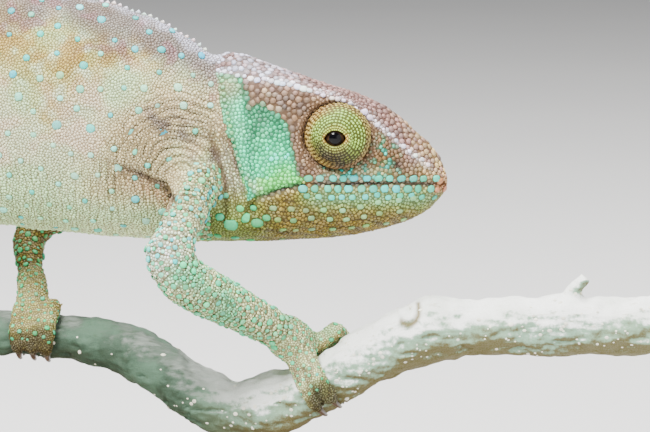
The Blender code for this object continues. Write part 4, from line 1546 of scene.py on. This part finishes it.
def buildClaws():
    bm = bmesh.new()
    for foot in footNames:
        for side, mark, _ in toeMarks(foot):
            addClaw(bm, side, mark)
    bmesh.ops.recalc_face_normals(bm, faces=bm.faces)
    mesh = meshFrom(bm, "claws")
    mesh.shade_smooth()
    claws = addObject("claws", mesh, clawMaterial())
    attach(claws, "root")


buildClaws()
print("claws: made")


branchValues = {
    "voxel": 0.6, "smoothing": 6, "ridge": 0.2, "lump": 0.7, "knobs": 0.3, "pits": 0.7,
    "ends": (-193.0, 94.4),
    "lenticels": 420, "lenticel": (244, 244, 236),
    # the near-white top is a painted highlight, and the dark under colour is partly painted shade
    "top": (0.93, 0.95, 0.94), "middle": (0.22, 0.38, 0.27), "under": (0.10, 0.084, 0.02),
    "olive": (0.24, 0.32, 0.17), "grain": (0.3, 0.33, 0.24),
    "heartwood": (0.62, 0.46, 0.28), "growthRing": (0.42, 0.27, 0.14),
    "scar": (0.17, 0.13, 0.035), "scarAt": (18.5, -47.0), "scarRadius": 2.7,
    "moss": (0.02, 0.05, 0.028), "mossPale": (0.06, 0.125, 0.08),
}


def barkMaterial():
    # near-white on top as a painted highlight, green on the sides and brown beneath, partly as painted shade,
    # with moss to the rear and wood on the cut ends
    made, s = newMaterial("bark")
    place = s.place()
    under, cut, rings = s.attribute("under"), s.attribute("cut"), s.attribute("rings")
    streaks = s.noise(900, 4, place.stretched((0.28, 1, 1)), 0.6)
    patches = s.noise(70, 3, place).ramp(0.35, 0.65)
    grain = s.noise(2600, 3, place).ramp(0.3, 0.7)
    dabs = s.noise(800, 3, place, 0.6)
    edge = under + (patches - 0.5) * 0.16 + (streaks - 0.5) * 0.35 + (dabs - 0.5) * 0.55
    # near-white where the bark faces up: a painted highlight
    colour = edge.ramp(0.24, 0.5).mix(branchValues["top"], branchValues["middle"])
    colour = (patches * 0.25).mix(colour, branchValues["olive"])
    # dark brown where the bark faces down: partly bark colour, partly painted shade
    colour = edge.ramp(0.5, 0.8).mix(colour, branchValues["under"])
    colour = s.attribute("scar").mix(colour, branchValues["scar"])
    colour = (grain * 0.15).mix(colour, branchValues["grain"])
    mossy = s.attribute("moss") * (patches * 0.2 + streaks * 0.35 + 0.5 + under * 0.2).ramp(0, 1)
    tufts = (patches * 0.5 + streaks * 0.5).ramp(0.45, 0.75)
    moss = tufts.mix(branchValues["moss"], branchValues["mossPale"])
    colour = mossy.mix(colour, moss)
    colour = streaks.ramp(0.58, 0.72).mix(colour, s.tinted(colour, (0.78, 0.76, 0.68)))
    growth = s.maths("SINE", rings * 9.0 + streaks * 1.4).ramp(-0.2, 0.9)
    wood = growth.mix(branchValues["heartwood"], branchValues["growthRing"])
    colour = cut.ramp(0.4, 0.6).mix(colour, wood)
    height = streaks + grain * 0.3 + growth * cut * 0.4
    return finishMaterial(made, s, {"Base Color": colour, "Roughness": 0.78 - grain * 0.12}, height, 0.16)


def scarAmounts(local, normals):
    # the scar of a fallen leaf at the bend: how far it lifts the bark, and its dark lower edge
    scarX, scarZ = branchValues["scarAt"]
    x, z = local[:, 0] - scarX, sideHeight(local) - scarZ
    away = np.hypot(x, z * 0.75) / branchValues["scarRadius"]
    facing = smoothStep(0.1, -0.3, normals[:, 1])
    lift = facing * (0.75 * smoothStep(1.15, 0.8, away) - 0.35 * smoothStep(0.75, 0.4, away))
    below = smoothStep(-0.1, 0.7, (x - z) / branchValues["scarRadius"])
    return lift, facing * hump(away, 1.12, 0.2) * below


def buildBranch():
    branch = remeshed("branch", meshFrom(cleanCopy("perch_branch"), "branch"), branchValues["voxel"])
    mesh = branch.data
    bm = bmesh.new()
    bm.from_mesh(mesh)
    smoothVerts(bm, bm.verts, branchValues["smoothing"])
    bm.to_mesh(mesh)
    bm.free()
    points, normals = meshArrays(mesh)
    local = toLocal(points)
    x = local[:, 0]
    rear, front = branchValues["ends"]
    ends = np.maximum(smoothStep(rear + 2.0, rear + 0.4, x), smoothStep(front - 2.0, front - 0.4, x))
    cut = ends * smoothStep(0.75, 0.9, np.abs(normals[:, 0]))
    stretched = local * (0.3, 1, 1)
    lift = branchValues["ridge"] * cloud(stretched, 1.3, 21) + branchValues["lump"] * cloud(local, 9, 22)
    lift += branchValues["knobs"] * cloud(local, 3.4, 23)
    lift -= (branchValues["pits"] * smoothStep(0.55, 0.85, cloud(stretched, 1.5, 24))
             * smoothStep(0.5, -0.3, normals[:, 2]))
    scarLift, scar = scarAmounts(local, normals)
    lift += scarLift
    writePoints(mesh, points + normals * (lift * (1 - cut))[:, None] * mm)
    points, normals = meshArrays(mesh)
    centres = (local[np.abs(x - end) < 1.2].mean(0) for end in (rear, front))
    fromHeart = local - np.where(x[:, None] < -50, *centres)
    numbers = {
        "scar": scar,
        # how far the bark faces down, which sets the painted highlight on top and the painted shade beneath
        "under": 0.5 - 0.5 * normals[:, 2] + 0.16 * smoothStep(-25, -60, x),
        "moss": smoothStep(-14, -44, x),
        "cut": cut,
        "rings": np.linalg.norm(fromHeart[:, 1:], axis=1),
    }
    for name, values in numbers.items():
        keepNumber(mesh, name, values)
    mesh.shade_smooth()
    unwrap(branch)
    giveMaterial(mesh, barkMaterial())
    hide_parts("perch_branch")
    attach(branch, "root")
    return branch, points, normals, cut


def buildLenticels(branch, points, normals, cut):
    # raised pale pores, most of them on the sides
    weight = np.where(cut > 0.2, 0, 0.04 + hump(normals[:, 2], -0.15, 0.5))
    weight *= 0.2 + 0.8 * smoothStep(-45, -15, toLocal(points)[:, 0])
    count = branchValues["lenticels"]
    picks = dice.choice(len(points), count, replace=False, p=weight / weight.sum())
    places, normals = points[picks], normals[picks]
    dome = makeTemplate(8, [(1.0, -1.0), (0.9, 0.4), (0.55, 0.85)])
    width = 0.22 + 0.4 * dice.random(count) ** 2
    long = width * (1.0 + 0.6 * dice.random(count))
    shade = np.array(branchValues["lenticel"], float) * (0.86 + 0.16 * dice.random(count))[:, None]
    uvs = Surface(branch).near(places)[2]
    mesh = tile("lenticels", dome, places, normals, tangentAlong(normals, (1, 0.1, 0)),
                ovalWidths(long, width), width * 0.4, uvs, shade, 0.2)
    bpy.data.meshes.remove(dome)
    made = addObject("lenticels", mesh, hideMaterial("lenticel", 0.2, (0.6, 0.55, 0.45)))
    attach(made, "root")


buildLenticels(*buildBranch())
print("branch: made")


standValues = {
    "light": (0.30, 0.17, 0.085), "dark": (0.13, 0.065, 0.03), "pore": (0.06, 0.03, 0.015),
    "steel": (0.62, 0.62, 0.63), "steelLine": (0.5, 0.5, 0.51),
    "finishes": {"stand_base": "wood", "stand_rod_front": "steel", "stand_rod_rear": "steel"},
}


def woodMaterial():
    made, s = newMaterial("standWood")
    place = s.place()
    bend = s.noise(22, 3, place.stretched((0.12, 1, 1)))
    across = s.node("ShaderNodeSeparateXYZ", None, {"Vector": place}, 1)
    rings = s.maths("SINE", across * 480 + bend * 26).ramp(-1, 1)
    pores = s.noise(1500, 3, place.stretched((0.04, 1, 1))).ramp(0.55, 0.75)
    colour = (rings * 0.7 + bend * 0.3).mix(standValues["light"], standValues["dark"])
    colour = (pores * 0.6).mix(colour, standValues["pore"])
    sockets = {"Base Color": colour, "Roughness": 0.36 + pores * 0.25, "Coat Weight": 0.25,
               "Coat Roughness": 0.25}
    return finishMaterial(made, s, sockets, 1 - pores * 0.6, 0.05)


def steelMaterial():
    made, s = newMaterial("standSteel")
    lines = s.noise(2200, 3, s.place().stretched((1, 1, 0.03))).ramp(0.3, 0.7)
    colour = lines.mix(standValues["steelLine"], standValues["steel"])
    return finishMaterial(made, s, {"Base Color": colour, "Metallic": 1.0, "Roughness": 0.27 + lines * 0.14},
                          lines, 0.02)


def finishStand():
    materials = {"wood": woodMaterial(), "steel": steelMaterial()}
    for node, finish in standValues["finishes"].items():
        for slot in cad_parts[node].material_slots:
            slot.material = materials[finish]


finishStand()
print("stand: finished")


viewValues = {
    "target": (0.080, -0.010, 0.105), "distance": 0.9, "elevation": 8.0, "frameWidth": 0.17225, "film": 36,
    "floor": (0.72, 0.72, 0.73), "floorMottle": (0.76, 0.76, 0.76), "floorReach": 15,
    "world": (0.86, 0.87, 0.88), "worldStrength": 0.3,
    "lit": (0.08, 0, 0.1),  # where the lamps point
}
lamps = {  # place, size, power and colour
    "key": ((-0.35, -0.75, 1.1), 0.55, 46, (1.0, 0.98, 0.94)),
    "top": ((0.15, 0.1, 1.3), 0.8, 38, (1.0, 0.99, 0.97)),
    "fill": ((0.9, -0.9, 0.35), 1.0, 6, (1.0, 0.99, 0.97)),
}


def setFloor():
    bm = bmesh.new()
    bmesh.ops.create_circle(bm, cap_ends=True, radius=viewValues["floorReach"], segments=96)
    made, s = newMaterial("floorPaint")
    tint = s.noise(6, 3, s.place()).mix(viewValues["floor"], viewValues["floorMottle"])
    paint = finishMaterial(made, s, {"Base Color": tint, "Roughness": 0.8})
    addObject("floor", meshFrom(bm, "floor"), paint)


def setLight(name, place, size, power, colour):
    data = bpy.data.lights.new(name, "AREA")
    data.shape, data.size, data.energy, data.color = "DISK", size, power, colour
    lamp = addObject(name, data)
    lamp.location = place
    lamp.rotation_euler = (Vector(viewValues["lit"]) - Vector(place)).to_track_quat("-Z", "Y").to_euler()


def setCamera():
    camera = addObject("camera", bpy.data.cameras.new("camera"))
    tilt = math.radians(viewValues["elevation"])
    away = Vector((0, -math.cos(tilt), math.sin(tilt))) * viewValues["distance"]
    camera.location = Vector(viewValues["target"]) + away
    camera.rotation_euler = (math.pi / 2 - tilt, 0, 0)
    camera.data.lens = viewValues["film"] * viewValues["distance"] / viewValues["frameWidth"]
    camera.data.clip_start = 0.01
    bpy.context.scene.camera = camera


def setWorld():
    world = bpy.data.worlds.new("studio")
    world.use_nodes = True
    sky = world.node_tree.nodes["Background"].inputs
    sky["Color"].default_value = (*viewValues["world"], 1)
    sky["Strength"].default_value = viewValues["worldStrength"]
    bpy.context.scene.world = world


setFloor()
for name, lamp in lamps.items():
    setLight(name, *lamp)
setCamera()
setWorld()
print("studio: set")
